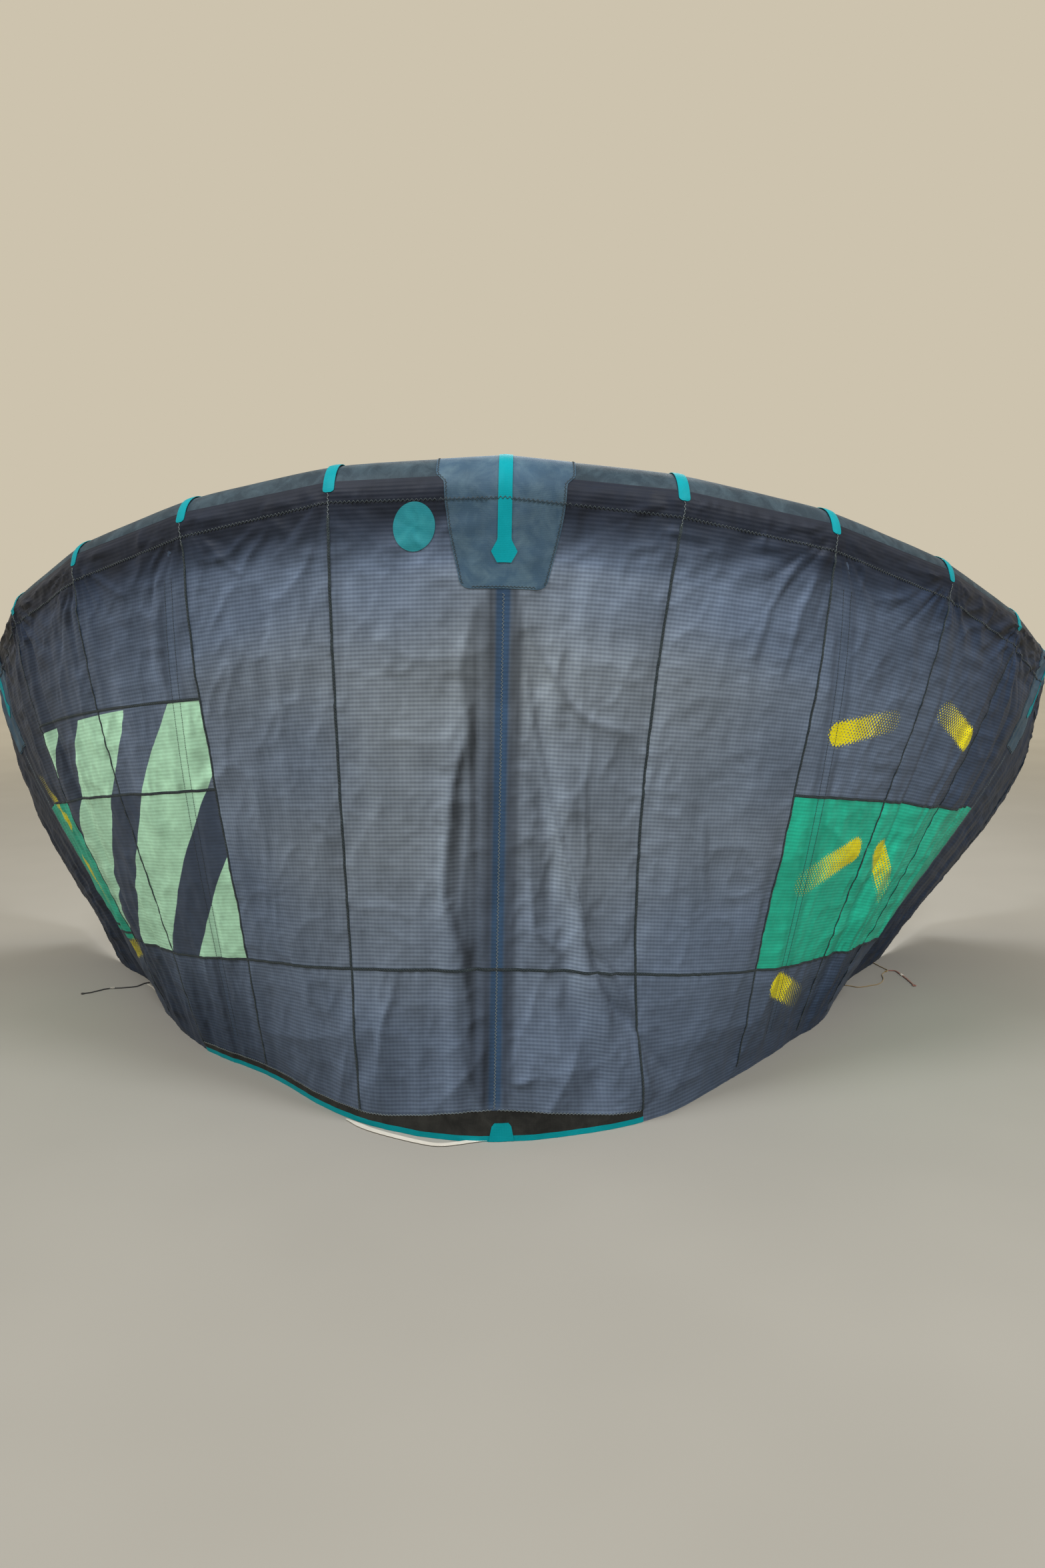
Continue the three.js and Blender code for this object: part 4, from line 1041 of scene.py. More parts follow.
def panel(name, low, high, bands, material, slot, tucked):
    """A panel of the canopy, with the width, length and area of its flat cloth."""
    settings = bpy.context.scene.kite_cloth
    u = panel_columns(low, high, settings.cell)
    rows = []
    for band in range(*bands):
        top, bottom = BAND_STARTS[band](u), BAND_STARTS[band + 1](u)
        wanted = int(round(float((bottom - top).max()) * FOLD_DOWN / settings.cell))
        count = max(wanted, 6 if band == 0 else 1)
        rows += [top + (bottom - top) * i / count for i in range(count)]
    t = np.array(rows + [BAND_STARTS[bands[1]](u)])
    u = np.broadcast_to(u, t.shape)
    points, out = cloth(u, t)
    plain = plain_point(u, t) - ORIGIN
    values = {
        "glow": glow_at(u, t), "painted_shade": painted_shade_at(u, t), "on_strut": on_strut_at(u, t),
        "print": print_at(u, t), "bars": bars_at(u, t), "painted_crease_light": painted_crease_light_of(points, plain, out),
    }
    points = points + out * settings.thickness
    points[..., 2] = np.maximum(points[..., 2], 0)
    if tucked:
        share = np.minimum((u[-1] - TUCK_FROM) / TUCK_RAMP, (TUCK_TO - u[-1]) / TUCK_RAMP)
        share = np.minimum(1, share)
        length = np.maximum(TUCK_LEAST, TUCK_LENGTH * share)[:, None]
        steps = np.linspace(0, 1, TUCK_ROWS + 1)[1:, None, None]
        turned = points[-1] - out[-1] * length * steps
        points, plain = np.concatenate([points, turned]), np.concatenate([plain, turned])
        values = {key: np.concatenate([value, np.repeat(value[-1:], TUCK_ROWS, axis=0)])
                  for key, value in values.items()}
    obj = grid(name, points, flat_uv(plain), attributes=values)
    thicken(obj, settings.thickness)
    sewn(obj, material, slot, name.replace("panel_", "canopy_"))
    a, b, c, d = plain[:-1, :-1], plain[:-1, 1:], plain[1:, 1:], plain[1:, :-1]
    area = float((np.linalg.norm(np.cross(c - a, d - b), axis=-1) / 2).sum())
    widest = float(np.linalg.norm(np.diff(plain, axis=1), axis=2).sum(1).max())
    longest = float(np.linalg.norm(np.diff(plain, axis=0), axis=2).sum(0).max())
    return obj, widest, longest, area


def strip(name, path, width, lift, thickness, material, slot):
    """A tape sewn along a path of (u, t) on the canopy."""
    path = np.asarray(path, float)
    middle = above_cloth(path[:, 0], path[:, 1], lift + thickness)
    _, out = cloth(path[:, 0], path[:, 1])
    ahead = unit(np.gradient(middle, axis=0))
    side = unit(np.cross(ahead, out))
    points = np.stack([middle + side * (width / 2), middle, middle - side * (width / 2)], 1)
    points[..., 2] = np.maximum(points[..., 2], 0.0002)
    obj = grid(name, points[:, ::-1], flat_uv(points))
    thicken(obj, thickness)
    return sewn(obj, material, slot)


def stitches(path, width, pitch, thread, lift):
    """A zigzag of thread along a path of (u, t), or a straight row of dashes if it has no width."""
    path = np.asarray(path, float)
    fine = above_cloth(path[:, 0], path[:, 1], lift)
    _, out = cloth(path[:, 0], path[:, 1])
    run = run_of(fine)
    count = max(2, int(run[-1] / pitch * 2))
    middle = along_line(run, fine, count + 1)
    normal = unit(along_line(run, out, count + 1))
    ahead = unit(np.gradient(middle, axis=0))
    side = unit(np.cross(ahead, normal))
    swing = np.where(np.arange(count + 1) % 2 == 0, 0.5, -0.5)[:, None] * width
    line = middle + side * swing
    line[..., 2] = np.maximum(line[..., 2], thread)
    gap = 0 if width > 0 else 0.35
    short = (line[1:] - line[:-1]) * gap / 2
    return line[:-1] + short, line[1:] - short, normal[:-1], thread


def thread_mesh(name, runs, material, slot):
    """All of one colour's stitches, each a short bar of thread."""
    corners, count = [], 0
    for starts, ends, normal, thread in runs:
        ahead = unit(ends - starts)
        side = unit(np.cross(ahead, normal)) * thread / 2
        up = unit(np.cross(side, ahead)) * thread / 2
        around = (side - up, side + up, -side + up, -side - up)
        corners.append(np.stack([starts + a for a in around] + [ends + a for a in around], 1))
        count += len(starts)
    points = np.concatenate(corners).reshape(-1, 3)
    one = np.array([(0, 1, 2, 3), (7, 6, 5, 4), (0, 4, 5, 1), (1, 5, 6, 2), (2, 6, 7, 3),
                    (3, 7, 4, 0)])
    faces = (np.arange(count)[:, None, None] * 8 + one[None]).reshape(-1, 4)
    uvs = np.tile(np.array([(0, 0), (0.001, 0), (0.001, 0.004), (0, 0.004)]), (len(faces), 1, 1))
    obj = new_object(name, points, faces, uvs)
    edit(obj, face_out)
    sewn(obj, material, slot)


def patch(name, u0, t0, low, high, half_width, lift, thickness, material, slot, cad_node, columns):
    """A flat shape laid on the cloth round (u0, t0), from low to high up it, as wide as half_width
    says."""
    count = max(6, int((high - low) / 0.006))
    bunch = np.linspace(0, 1, count + 1)
    y = low + (high - low) * (bunch - np.sin(2 * np.pi * bunch) / (2 * np.pi) * 0.6)
    y = y[::-1]
    x = np.linspace(-1, 1, columns)[None] * half_width(y)[:, None]
    y = np.broadcast_to(y[:, None], x.shape)
    u, t = laid(u0, t0, x, y)
    obj = grid(name, above_cloth(u, t, lift + thickness), np.stack([x, y], -1))
    thicken(obj, thickness)
    sewn(obj, material, slot, cad_node)


def rounded(half, radius, y):
    """Half the width of a shape with a rounded foot at y = 0."""
    up = np.clip(y, 0, radius)
    return half - radius + np.sqrt(np.maximum(radius ** 2 - (radius - up) ** 2, 0))


def six_sided(half, end, y):
    """Half the width of a strap that ends in a six-sided piece about y = 0."""
    height = end * math.cos(math.pi / 6)
    side = end - (end - half) * np.abs(y) / height
    return np.where(y > height, half, np.maximum(side, half))


def on_patch(u, t):
    """1 where one of the struts' sailcloth patches covers the canopy."""
    cover = np.zeros(np.shape(u))
    for _, u0, foot, _, head_width, _ in STRUT_PATCHES:
        across = np.abs(u - u0) * FOLD_ACROSS
        cover = np.maximum(cover, ((across < head_width + 0.01) & (t < foot + 0.004)).astype(float))
    return cover


def path_between(points, step=0.006):
    """Points (u, t) at short steps along straight runs between a few."""
    points = np.asarray(points, float)
    pieces = []
    for a, b in zip(points, points[1:]):
        long = math.hypot((b[0] - a[0]) * FOLD_ACROSS, (b[1] - a[1]) * FOLD_DOWN)
        share = np.linspace(0, 1, max(2, int(long / step)), endpoint=False)[:, None]
        pieces.append(a + (b - a) * share)
    return np.vstack(pieces + [points[-1:]])


def up_to_the_nose(u0, foot):
    """How far it is along the cloth from a place on a chord up to where the straps begin."""
    t = np.linspace(STRAP_BEGINS, foot, 300)
    return float(np.linalg.norm(np.diff(plain_point(u0, t), axis=0), axis=1).sum())


# ------------------------------------------------------------------ operators


class KITE_OT_camera(bpy.types.Operator):
    """Place the camera in front of the kite at chest height, looking slightly down"""
    bl_idname = "kite.camera"
    bl_label = "Camera"

    def execute(self, context):
        focal = 0.765408  # of the long side of the view
        turn, tilt, roll = 0.0060, 0.13387, 0.0060
        ahead = Vector((math.sin(turn) * math.cos(tilt), math.cos(turn) * math.cos(tilt),
                        -math.sin(tilt)))
        right = Vector((math.cos(turn), -math.sin(turn), 0))
        down = ahead.cross(right)
        right, down = (right * math.cos(roll) + down * math.sin(roll),
                       down * math.cos(roll) - right * math.sin(roll))
        data = bpy.data.cameras.new("camera")
        data.sensor_fit = "AUTO"
        data.sensor_width = 36
        data.lens = 36 * focal
        data.clip_end = 200
        camera = bpy.data.objects.new("camera", data)
        axes = Matrix((right, -down, -ahead)).transposed().to_4x4()
        camera.matrix_world = Matrix.Translation((-0.0375, -3.8039, 1.24)) @ axes
        context.scene.collection.objects.link(camera)
        context.scene.camera = camera
        return {"FINISHED"}


class KITE_OT_cords(bpy.types.Operator):
    """Lay the pigtails and the bridle line on the floor by the wings"""
    bl_idname = "kite.cords"
    bl_label = "Cords"

    def lay(self, name, route, width, material, slot, doubled):
        """A cord on the floor along its route."""
        radius = width / 2
        line = through([(x, y, radius * (0.55 if doubled else 1)) for x, y in route], 90)
        # A doubled line is two strands side by side, half as high as it is wide.
        lobes = (lambda a: 0.50 + 0.50 * np.cos(a) ** 2) if doubled else None
        obj = tube_along(f"braided_{name}", line, radius, 20, flatten=lobes)
        sewn(obj, material, slot, name)
        return obj, line

    def whipping(self, name, centre, ahead, radius, wire, turns, material, slot):
        """A few turns of line round the cord, as a knot has."""
        angle = np.linspace(0, 2 * math.pi * turns, 22 * turns)
        ahead = unit(ahead)
        side = np.array([-ahead[1], ahead[0], 0.0])
        along = (angle / angle[-1] - 0.5) * turns * wire * 1.7
        line = centre + ahead * along[:, None] + side * (np.cos(angle) * radius)[:, None]
        line[:, 2] += np.sin(angle) * radius
        line[:, 2] = np.maximum(line[:, 2], wire / 2)
        return sewn(tube_along(name, line, wire / 2, 8), material, slot)

    def loop(self, name, end, ahead, long, wide, wire, material, slot):
        """The small loop that a line ends in."""
        angle = np.linspace(0, 2 * math.pi, 36, endpoint=False)
        ahead = unit(ahead)
        side = np.array([-ahead[1], ahead[0], 0.0])
        line = (end + ahead * ((1 - np.cos(angle)) * long / 2)[:, None]
                + side * (np.sin(angle) * (wide / 2) * (1.15 - 0.3 * np.cos(angle)))[:, None])
        line[:, 2] = wire / 2
        return sewn(tube_along(name, line, wire / 2, 8, closed=True), material, slot)

    def execute(self, context):
        settings = context.scene.kite_cords
        for name, route, doubled, colour, length, far_end, knot in CORDS:
            width = settings.pigtail if doubled else settings.bridle
            material, slot = f"{colour} braid", f"cord_{colour}"
            obj, line = self.lay(name, route, width, material, slot, doubled)
            at, radius, wire, turns, tied_of = knot
            pieces = [self.whipping(f"{name}_knot", line[at], line[at + 2] - line[at - 2], radius,
                                    wire, turns, tied_of, slot)]
            if doubled:
                ahead = line[-1] - line[-4]
                pieces.append(self.loop(f"{name}_loop", line[-1] - unit(ahead) * 0.004, ahead,
                                        0.012, 0.010, 0.003, material, slot))
        return {"FINISHED"}


class KITE_OT_tube(bpy.types.Operator):
    """Pump up the leading-edge tube, sewn in three lengths a side"""
    bl_idname = "kite.tube"
    bl_label = "Leading-edge tube"

    def execute(self, context):
        clear, angle = 0.0004, angles_round(72)
        for side, sign in SIDES:
            for name, low, high in TUBE_LENGTHS:
                start, end = (low, high) if sign > 0 else (-high, -low)
                u = np.concatenate(
                    [np.linspace(k, k + 1, 36, endpoint=False) for k in range(start, end)] + [[end]]
                )
                rings = self.rings(u, angle, -clear)
                if high == TIP:
                    rings = self.round_off(rings, sign)
                obj = grid(f"tube_{side}_{name}", rings, flat_uv(rings, wrap=True), wrap=True)
                close_ends(obj)
                sewn(obj, "slate sailcloth", "sailcloth_slate", f"leading_edge_{side}_{name}")
        self.ring_seams(angle)
        return {"FINISHED"}

    def rings(self, u, angle, offset):
        """A ring of the tube for each u, with a point for each angle."""
        joint = np.clip(np.floor(u), -TIP, TIP - 1).astype(int)
        f = (u - joint)[:, None, None]
        k = (joint + TIP)[:, None]
        # The cloth is nipped in at each joint and fills out between, and puckers near the seam.
        near = np.abs(u - np.round(u))[:, None]
        nip = -0.0022 * np.exp(-((near / 0.05) ** 2)) + 0.0012 * smoothstep(near, 0.05, 0.3)
        pucker = 0.0011 * noise(angle[None] * 7.5, np.round(u)[:, None] * 3.7, 41)
        pucker = (pucker * np.exp(-((near / 0.16) ** 2))
                  + 0.0004 * noise(angle[None] * 3, u[:, None] * 6, 42))
        lapped = (angle > LAP_ANGLE - 0.05) & (angle < LEAVES_ANGLE + 0.35)
        height = np.where(lapped[None], np.minimum(nip + pucker, 0), nip + pucker) + offset
        angle, k = np.broadcast_to(angle, height.shape), np.broadcast_to(k, height.shape)
        a, b = ring(k, angle, height), ring(k + 1, angle, height)
        return a + (b - a) * f - ORIGIN

    def round_off(self, rings, sign):
        """Rings that close the tube's tip."""
        if sign < 0:
            rings = rings[::-1]
        centre = rings[-1].mean(0)
        ahead = unit(centre - rings[-4].mean(0))
        rings = np.concatenate([rings, domed(rings[-1], centre, ahead * RADIUS[0] * 0.62)])
        return rings[::-1] if sign < 0 else rings

    def ring_seams(self, angle):
        """The seams where the tube's tapered lengths are sewn together."""
        pieces = []
        for joint in range(-TIP + 1, TIP):
            step = TUBE_RUN[joint + TIP + 1] - TUBE_RUN[joint + TIP]
            for shift in (-0.006, 0.006):
                u = joint + np.array([-0.004, 0.0, 0.004]) / step + shift / step
                rings = self.rings(u, angle, 0.0006)
                piece = grid("seam", rings, flat_uv(rings, wrap=True), wrap=True)
                edit(piece, turn_over)
                thicken(piece, 0.0004)
                pieces.append(piece)
        sewn(join("tube_ring_seams", pieces), "seam tape", "sailcloth_slate")


class KITE_OT_struts(bpy.types.Operator):
    """Set the five pumped-up struts under the canopy"""
    bl_idname = "kite.struts"
    bl_label = "Struts"

    def execute(self, context):
        angle = angles_round(40)
        seams = []
        for name, head_u, foot_u, head, foot, _ in STRUTS:
            t = np.linspace(0.018, 0.951, 90)
            u = head_u + (foot_u - head_u) * t
            radius = head + (foot - head) * t
            point, out = plain_point(u, t) - ORIGIN, outwards(u, t)
            fill = 1 - 0.04 * np.exp(-(((t - 0.10) / 0.02) ** 2))
            centre = point - out * (radius + 0.0012)[:, None]
            ahead = unit(np.gradient(centre, axis=0))
            across = unit(np.cross(ahead, out))
            wave = 0.0005 * noise(angle[None] * 4, t[:, None] * 40, 51)
            wide = (radius * fill)[:, None] + wave
            rings = round_line(centre, out, across, angle, wide)
            rings[..., 2] = np.maximum(rings[..., 2], 0.002)
            rings = np.concatenate([rings, domed(rings[-1], centre[-1], ahead[-1] * foot * 0.72)])
            obj = grid(f"inflated_{name}", rings, flat_uv(rings, wrap=True), wrap=True)
            close_ends(obj)
            sewn(obj, "strut cloth", "strut_cloth", name)
            seams += self.side_seams(centre, out, across, radius)
        sewn(join("strut_seams", seams), "seam tape", "strut_cloth")
        return {"FINISHED"}

    def side_seams(self, centre, out, across, radius):
        """A flat seam along each side of a strut, short of its ends."""
        centre, out, across, radius = (lines[6:-3] for lines in (centre, out, across, radius))
        pieces = []
        for way in (-1, 1):
            angles = way * math.pi * 0.62 + np.array([-0.09, 0.0, 0.09])
            points = round_line(centre, out, across, angles, radius[:, None] + 0.0012)
            piece = grid("seam", points, flat_uv(points))
            thicken(piece, 0.0005)
            pieces.append(piece)
        return pieces


class KITE_OT_canopy(bpy.types.Operator):
    """Cut the canopy's panels and hang them from the tube"""
    bl_idname = "kite.canopy"
    bl_label = "Canopy"

    def execute(self, context):
        for side, sign in SIDES:
            for name, start, end, bands, left, right in PANELS:
                colour = left if sign < 0 else right
                low, high = (start, end) if sign > 0 else (-end, -start)
                tucked = bands[1] == 6 and sign > 0 and start >= TUCK_FROM and end <= TUCK_TO
                obj, width, length, area = panel(f"panel_{side}_{name}", low, high, bands,
                                                 f"{colour} ripstop", f"canopy_{colour}", tucked)
        return {"FINISHED"}


class KITE_OT_seams(bpy.types.Operator):
    """Sew the panels together with tape and zigzag stitches"""
    bl_idname = "kite.seams"
    bl_label = "Seams"

    def execute(self, context):
        trim = context.scene.kite_trim
        lift = context.scene.kite_cloth.thickness
        tape, thread = 0.0004, trim.thread
        pieces, light, dark = [], [], []

        def taped(path, width=0.0076, pitch=0.0072):
            path = path_between(path)
            pieces.append(strip("seam", path, width, lift, tape, "seam tape", "canopy_navy"))
            dark.append(stitches(path, width * 0.7, pitch, thread, lift + tape + thread / 2))

        for u in (-6, -4, -3, -2, -1, 1, 2, 3, 4, 6):
            foot = float(band_top(np.array(float(u))))
            taped([(u, 0.05), (u, 0.30), (u, 0.60), (u, foot)], 0.0070)
        for way in (-1, 1):
            us = np.linspace(0.0, 4.65, 40) * way
            taped(np.stack([us, lower_seam(us)], -1))
            us = np.linspace(2.0, 4.65, 24) * way
            taped(np.stack([us, 0 * us + UPPER_SEAM], -1))
        taped([(-2.0, 0.300), (-3.0, 0.292), (-4.0, 0.282)])
        sewn(join("seam_tapes", pieces), "seam tape", "canopy_navy")

        closing = path_between(CLOSING_SEAM, 0.004)
        covered = on_patch(closing[:, 0], closing[:, 1])
        over = lift + thread / 2 + OVER_PATCH + covered * (trim.patch + 0.0010)
        parts = np.flatnonzero(np.abs(np.diff(over)) > 1e-6) + 1
        for part, height in zip(np.split(closing, parts), np.split(over, parts)):
            if len(part) > 3:
                dark.append(stitches(part, 0.0065, trim.zigzag, thread * 1.3, float(height[0])))
        for u in (-4, -3, -2, -1, 1, 2, 3, 4):
            below_strap = path_between([(u, 0.018 if abs(u) < 3 else 0.028), (u, 0.055)], 0.003)
            light.append(stitches(below_strap, 0.003, 0.010, thread, lift + thread / 2 + 0.0004))
        for u, head, foot in ((0, 0.170, 0.949), (-5, 0.30, 0.95), (5, 0.30, 0.95)):
            light.append(stitches(path_between([(u, head), (u, foot)]), 0.0046, 0.0085, thread,
                                  lift + thread / 2))
        for strut in STRUTS[1:3]:
            for shift in (-0.012, 0.012):
                at = np.linspace(0.10, 0.94, 200)
                us = strut[1] + (strut[2] - strut[1]) * at + shift / FOLD_ACROSS
                dark.append(stitches(np.stack([us, at], -1), 0.0, 0.012, thread, lift + thread / 2))
        nose = [(u, -0.088) for u in np.linspace(-6.9, 6.9, 139)]
        light.append(stitches(path_between(nose, 0.004), 0.0, 0.014, thread, 0.0012))
        for way in (-1, 1):
            us = np.linspace(0.02, 2.98 if way < 0 else 0.98, 120) * way
            light.append(stitches(np.stack([us, band_top(us) - 0.0010], -1), 0.0040, 0.0095, thread,
                                  lift + trim.patch + thread))
        thread_mesh("zigzag_stitches", light, "light thread", "canopy_navy")
        thread_mesh("seam_stitches", dark, "dark thread", "canopy_navy")
        return {"FINISHED"}


class KITE_OT_patches(bpy.types.Operator):
    """Lay the sailcloth patches over the struts' heads, and the small round patch"""
    bl_idname = "kite.patches"
    bl_label = "Patches"

    def execute(self, context):
        trim = context.scene.kite_trim
        edges = []
        for name, u0, foot, _, head_width, foot_width in STRUT_PATCHES:
            reach = 0.13 if abs(u0) < 1 else 0.17

            def half_width(y):
                spread = head_width + 0.020 * smoothstep(y, reach + 0.11, reach + 0.14)
                share = smoothstep(y, -0.06, reach + 0.11) ** 0.8
                flare = foot_width + (spread - foot_width) * share
                return rounded(flare, 0.020, y)

            high = up_to_the_nose(u0, foot)
            patch(f"sailcloth_patch_{name}", u0, foot, 0.0, high, half_width, trim.lift, trim.patch,
                  "patch sailcloth", "sailcloth_slate", f"patch_{name}", columns=41)
            up = np.linspace(high * 0.80, 0.012, 120)
            side = half_width(up) - 0.0045
            across = np.linspace(-foot_width + 0.016, foot_width - 0.016, 60)
            for x, y in ((-side, up), (side, up), (across, 0 * across + 0.0045)):
                edges.append(stitches(np.stack(laid(u0, foot, x, y), -1), 0.0035, 0.0085,
                                      trim.thread, trim.lift + trim.patch + trim.thread / 2))
        thread_mesh("patch_stitches", edges, "dark thread", "sailcloth_slate")
        self.round_patch(trim)
        return {"FINISHED"}

    def round_patch(self, trim):
        """The small round patch to the left of the centre strap."""
        wide, high, rings, sectors = 0.049, 0.056, 9, 64
        angle = angles_round(sectors)
        share = np.linspace(0.06, 1, rings)[:, None]
        x, y = share * wide * np.cos(angle), share * high * np.sin(angle)
        u, t = laid(-0.51, 0.071, x, y)
        points = above_cloth(u, t, trim.lift + trim.patch)
        closed = np.concatenate([np.stack([x, y], -1), np.stack([x, y], -1)[:, :1]], 1)
        obj = grid("round_patch", points[::-1], closed[::-1], wrap=True)

        def fill_middle(made):
            first = (rings - 1) * sectors  # number of the innermost ring's first point
            inner = [edge for edge in made.edges
                     if edge.is_boundary and all(v.index >= first for v in edge.verts)]
            bmesh.ops.holes_fill(made, edges=inner, sides=0)

        def face_front(made):
            face_out(made)
            if sum(face.normal.y for face in made.faces) > 0:
                turn_over(made)

        edit(obj, fill_middle, face_front)
        thicken(obj, trim.patch)
        sewn(obj, "insignia cloth", "webbing_turquoise", "patch_round")


class KITE_OT_straps(bpy.types.Operator):
    """Sew the turquoise straps over the tube, at its joints and over the struts"""
    bl_idname = "kite.straps"
    bl_label = "Straps"

    def execute(self, context):
        trim = context.scene.kite_trim
        half = trim.strap / 2
        for side, sign in SIDES:
            for joint, end in JOINT_STRAP_ENDS.items():
                patch(f"joint_strap_{side}_{joint}", sign * joint, end, 0.0,
                      up_to_the_nose(sign * joint, end), lambda y: rounded(half, 0.008, y),
                      trim.lift, trim.patch, "turquoise webbing", "webbing_turquoise",
                      f"strap_{side}_{joint}", columns=7)
        for name, u0, _, middle, _, _ in STRUT_PATCHES:
            patch(f"strut_strap_{name}", u0, middle, -0.0255, up_to_the_nose(u0, middle),
                  lambda y: six_sided(trim.strut_strap / 2, 0.030, y),
                  trim.lift + trim.patch + OVER_PATCH, trim.patch,
                  "turquoise webbing", "webbing_turquoise", f"strap_{name}", columns=9)
        return {"FINISHED"}


class KITE_OT_trailing_edge(bpy.types.Operator):
    """Bind the trailing edge with its black band, turquoise tape and lining"""
    bl_idname = "kite.trailing_edge"
    bl_label = "Trailing edge"

    def execute(self, context):
        trim = context.scene.kite_trim
        for side, low, high in (("left", -3.0, 0.0), ("right", 0.0, 1.0)):
            u = np.linspace(low, high, int((high - low) * 60) + 1)
            self.bound(f"edge_band_{side}", u, band_top(u), TAPE_TOP - 0.0002, 6, trim,
                       "black band", "band_black", f"band_{side}")
            self.bound(f"edge_tape_{side}", u, 0 * u + TAPE_TOP, 1.0, 3, trim, "turquoise webbing",
                       "webbing_turquoise", f"tape_{side}")
        self.lining()
        patch("edge_patch", 0.05, 1.0, 0.0005, 0.046,
              lambda y: np.interp(y, (0, 0.038, 0.046), (0.031, 0.0235, 0.017)),
              trim.lift + trim.patch + OVER_PATCH, trim.patch,
              "turquoise webbing", "webbing_turquoise", "patch_trailing_edge", columns=9)
        return {"FINISHED"}

    def lining(self):
        """White lining that shows under the hem, on the floor."""
        pieces = []
        for route, width in HEMS:
            line = through([(x, y, 0.0018) for x, y in route], 40)
            side = unit(np.cross(np.gradient(line, axis=0), (0, 0, 1)))
            steps = np.arange(len(line))
            taper = np.minimum(1, np.minimum(steps, steps[::-1]) / 6 + 0.25)[:, None]
            points = np.stack([line - side * width / 2 * taper, line + side * width / 2 * taper], 1)
            obj = grid("hem", points, flat_uv(points))
            thicken(obj, 0.0008)
            pieces.append(obj)
        sewn(join("hem_lining", pieces), "white lining", "webbing_turquoise")

    def bound(self, name, u, top, bottom, rows, trim, material, slot, cad_node):
        """A flat band along the trailing edge, from top to bottom down the chord at each u."""
        share = np.linspace(0, 1, rows + 1)[:, None]
        t = top[None] + (bottom - top[None]) * share
        points = above_cloth(np.broadcast_to(u, t.shape), t, trim.lift + trim.patch)
        obj = grid(name, points, flat_uv(points))
        thicken(obj, trim.patch)
        sewn(obj, material, slot, cad_node)


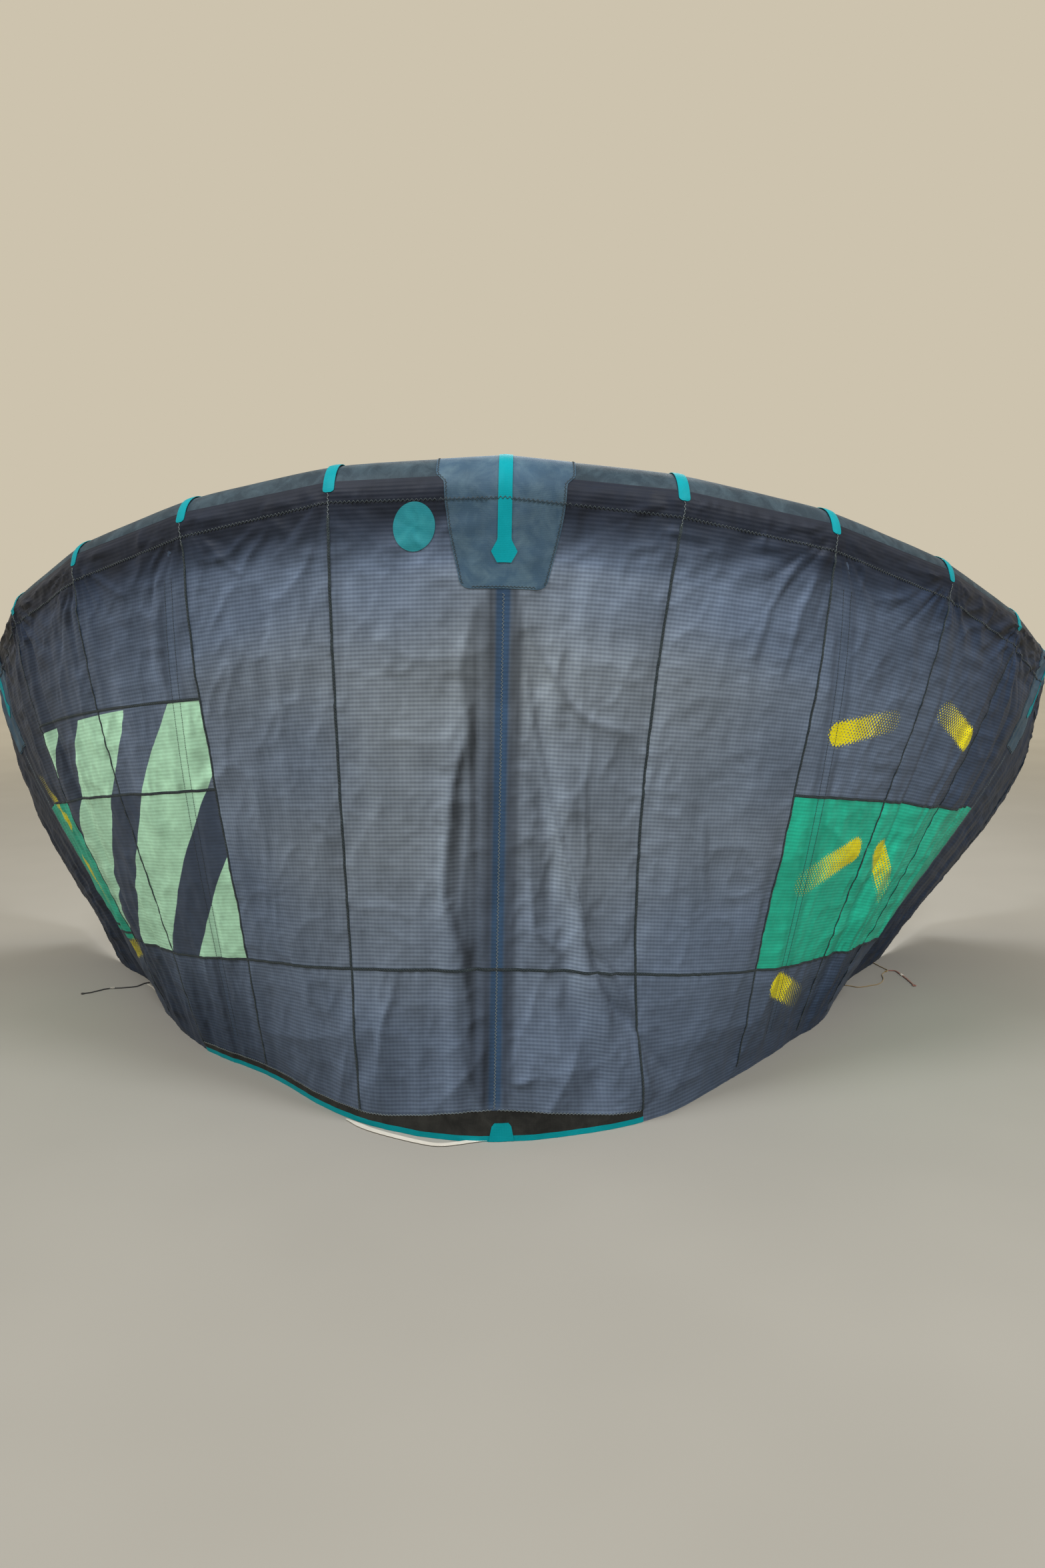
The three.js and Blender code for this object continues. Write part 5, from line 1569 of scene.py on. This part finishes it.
class KITE_OT_stage(bpy.types.Operator):
    """Lay the floor and set the soft lights"""
    bl_idname = "kite.stage"
    bl_label = "Stage"

    def execute(self, context):
        settings = context.scene.kite_stage
        bpy.ops.object.select_all(action="DESELECT")
        bpy.ops.mesh.primitive_circle_add(
            vertices=96, radius=30, fill_type="NGON", location=(0, 0, -0.0005)
        )
        floor = context.active_object
        floor.name = "floor"
        floor.data.materials.append(self.floor_finish(settings))
        world = bpy.data.worlds.new("studio")
        context.scene.world = world
        world.use_nodes = True
        world.node_tree.nodes["Background"].inputs["Color"].default_value = settings.air
        world.node_tree.nodes["Background"].inputs["Strength"].default_value = 1.0
        self.lamp("key", (-2.4, -2.6, 4.6), (0.0, 0.2, 0.8), 1.6, 115)
        self.lamp("fill", (2.8, -3.0, 4.4), (0.1, 0.3, 0.8), 1.6, 128)
        self.lamp("rim", (0.5, 4.0, 4.4), (0.0, 0.5, 1.0), 3.0, 110)
        context.scene.view_settings.view_transform = "Standard"
        return {"FINISHED"}

    def floor_finish(self, settings):
        """Painted concrete, matt: an even tone with faint soft patches, paler far from the kite."""
        material, tree, shader = new_material("painted floor", 0.75, 0.2)
        place = node(tree, "TexCoord", out="Object")
        away = node(tree, "VectorMath", {0: place}, operation="LENGTH", out="Value")
        fade = node(tree, "MapRange", {0: away, 1: 4.0, 2: 12.0, 3: 0.0, 4: 1.0},
                    interpolation_type="SMOOTHSTEP")
        mixed = node(tree, "Mix", {0: fade, MIX_A: settings.floor, MIX_B: settings.far},
                     data_type="RGBA", out=MIX_OUT)
        patches = node(tree, "TexNoise", {"Vector": place, "Scale": 1.4, "Detail": 2.0})
        tone = node(tree, "MapRange", {0: patches, 1: 0.3, 2: 0.7, 3: 0.97, 4: 1.03})
        toned = node(tree, "VectorMath", {0: mixed, "Scale": tone}, operation="SCALE")
        tree.links.new(toned, shader.inputs["Base Color"])
        return material

    def lamp(self, name, place, aim, width, power):
        data = bpy.data.lights.new(name, "AREA")
        data.shape, data.size, data.energy = "DISK", width, power
        lamp = bpy.data.objects.new(name, data)
        lamp.location = place
        lamp.rotation_euler = (Vector(aim) - Vector(place)).to_track_quat("-Z", "Y").to_euler()
        bpy.context.scene.collection.objects.link(lamp)


class KITE_PT_sidebar(bpy.types.Panel):
    """The kite's sizes, colours and building steps"""
    bl_idname = "KITE_PT_sidebar"
    bl_label = "Kitesurfing Kite"
    bl_space_type = "VIEW_3D"
    bl_region_type = "UI"
    bl_category = "Kite"

    def draw(self, context):
        for name, group in SETTINGS.items():
            box = self.layout.box()
            box.label(text=name.replace("kite_", "").capitalize())
            for key in group.__annotations__:
                box.prop(getattr(context.scene, name), key)
        for operator in OPERATORS:
            self.layout.operator(operator.bl_idname)


SETTINGS = {
    "kite_cloth": KiteCloth,
    "kite_trim": KiteTrim,
    "kite_cords": KiteCords,
    "kite_stage": KiteStage,
}
OPERATORS = (
    KITE_OT_camera, KITE_OT_cords, KITE_OT_tube, KITE_OT_struts, KITE_OT_canopy, KITE_OT_seams,
    KITE_OT_patches, KITE_OT_straps, KITE_OT_trailing_edge, KITE_OT_stage,
)


def register():
    for group in SETTINGS.values():
        bpy.utils.register_class(group)
    for name, group in SETTINGS.items():
        setattr(bpy.types.Scene, name, PointerProperty(type=group))
    for operator in (*OPERATORS, KITE_PT_sidebar):
        bpy.utils.register_class(operator)


def unregister():
    for operator in (KITE_PT_sidebar, *reversed(OPERATORS)):
        bpy.utils.unregister_class(operator)
    for name, group in SETTINGS.items():
        delattr(bpy.types.Scene, name)
        bpy.utils.unregister_class(group)


def main():
    register()
    bpy.ops.kite.camera()
    bpy.ops.kite.cords()
    bpy.ops.kite.tube()
    bpy.ops.kite.struts()
    bpy.ops.kite.canopy()
    bpy.ops.kite.seams()
    bpy.ops.kite.patches()
    bpy.ops.kite.straps()
    bpy.ops.kite.trailing_edge()
    bpy.ops.kite.stage()


if __name__ == "__main__":
    main()
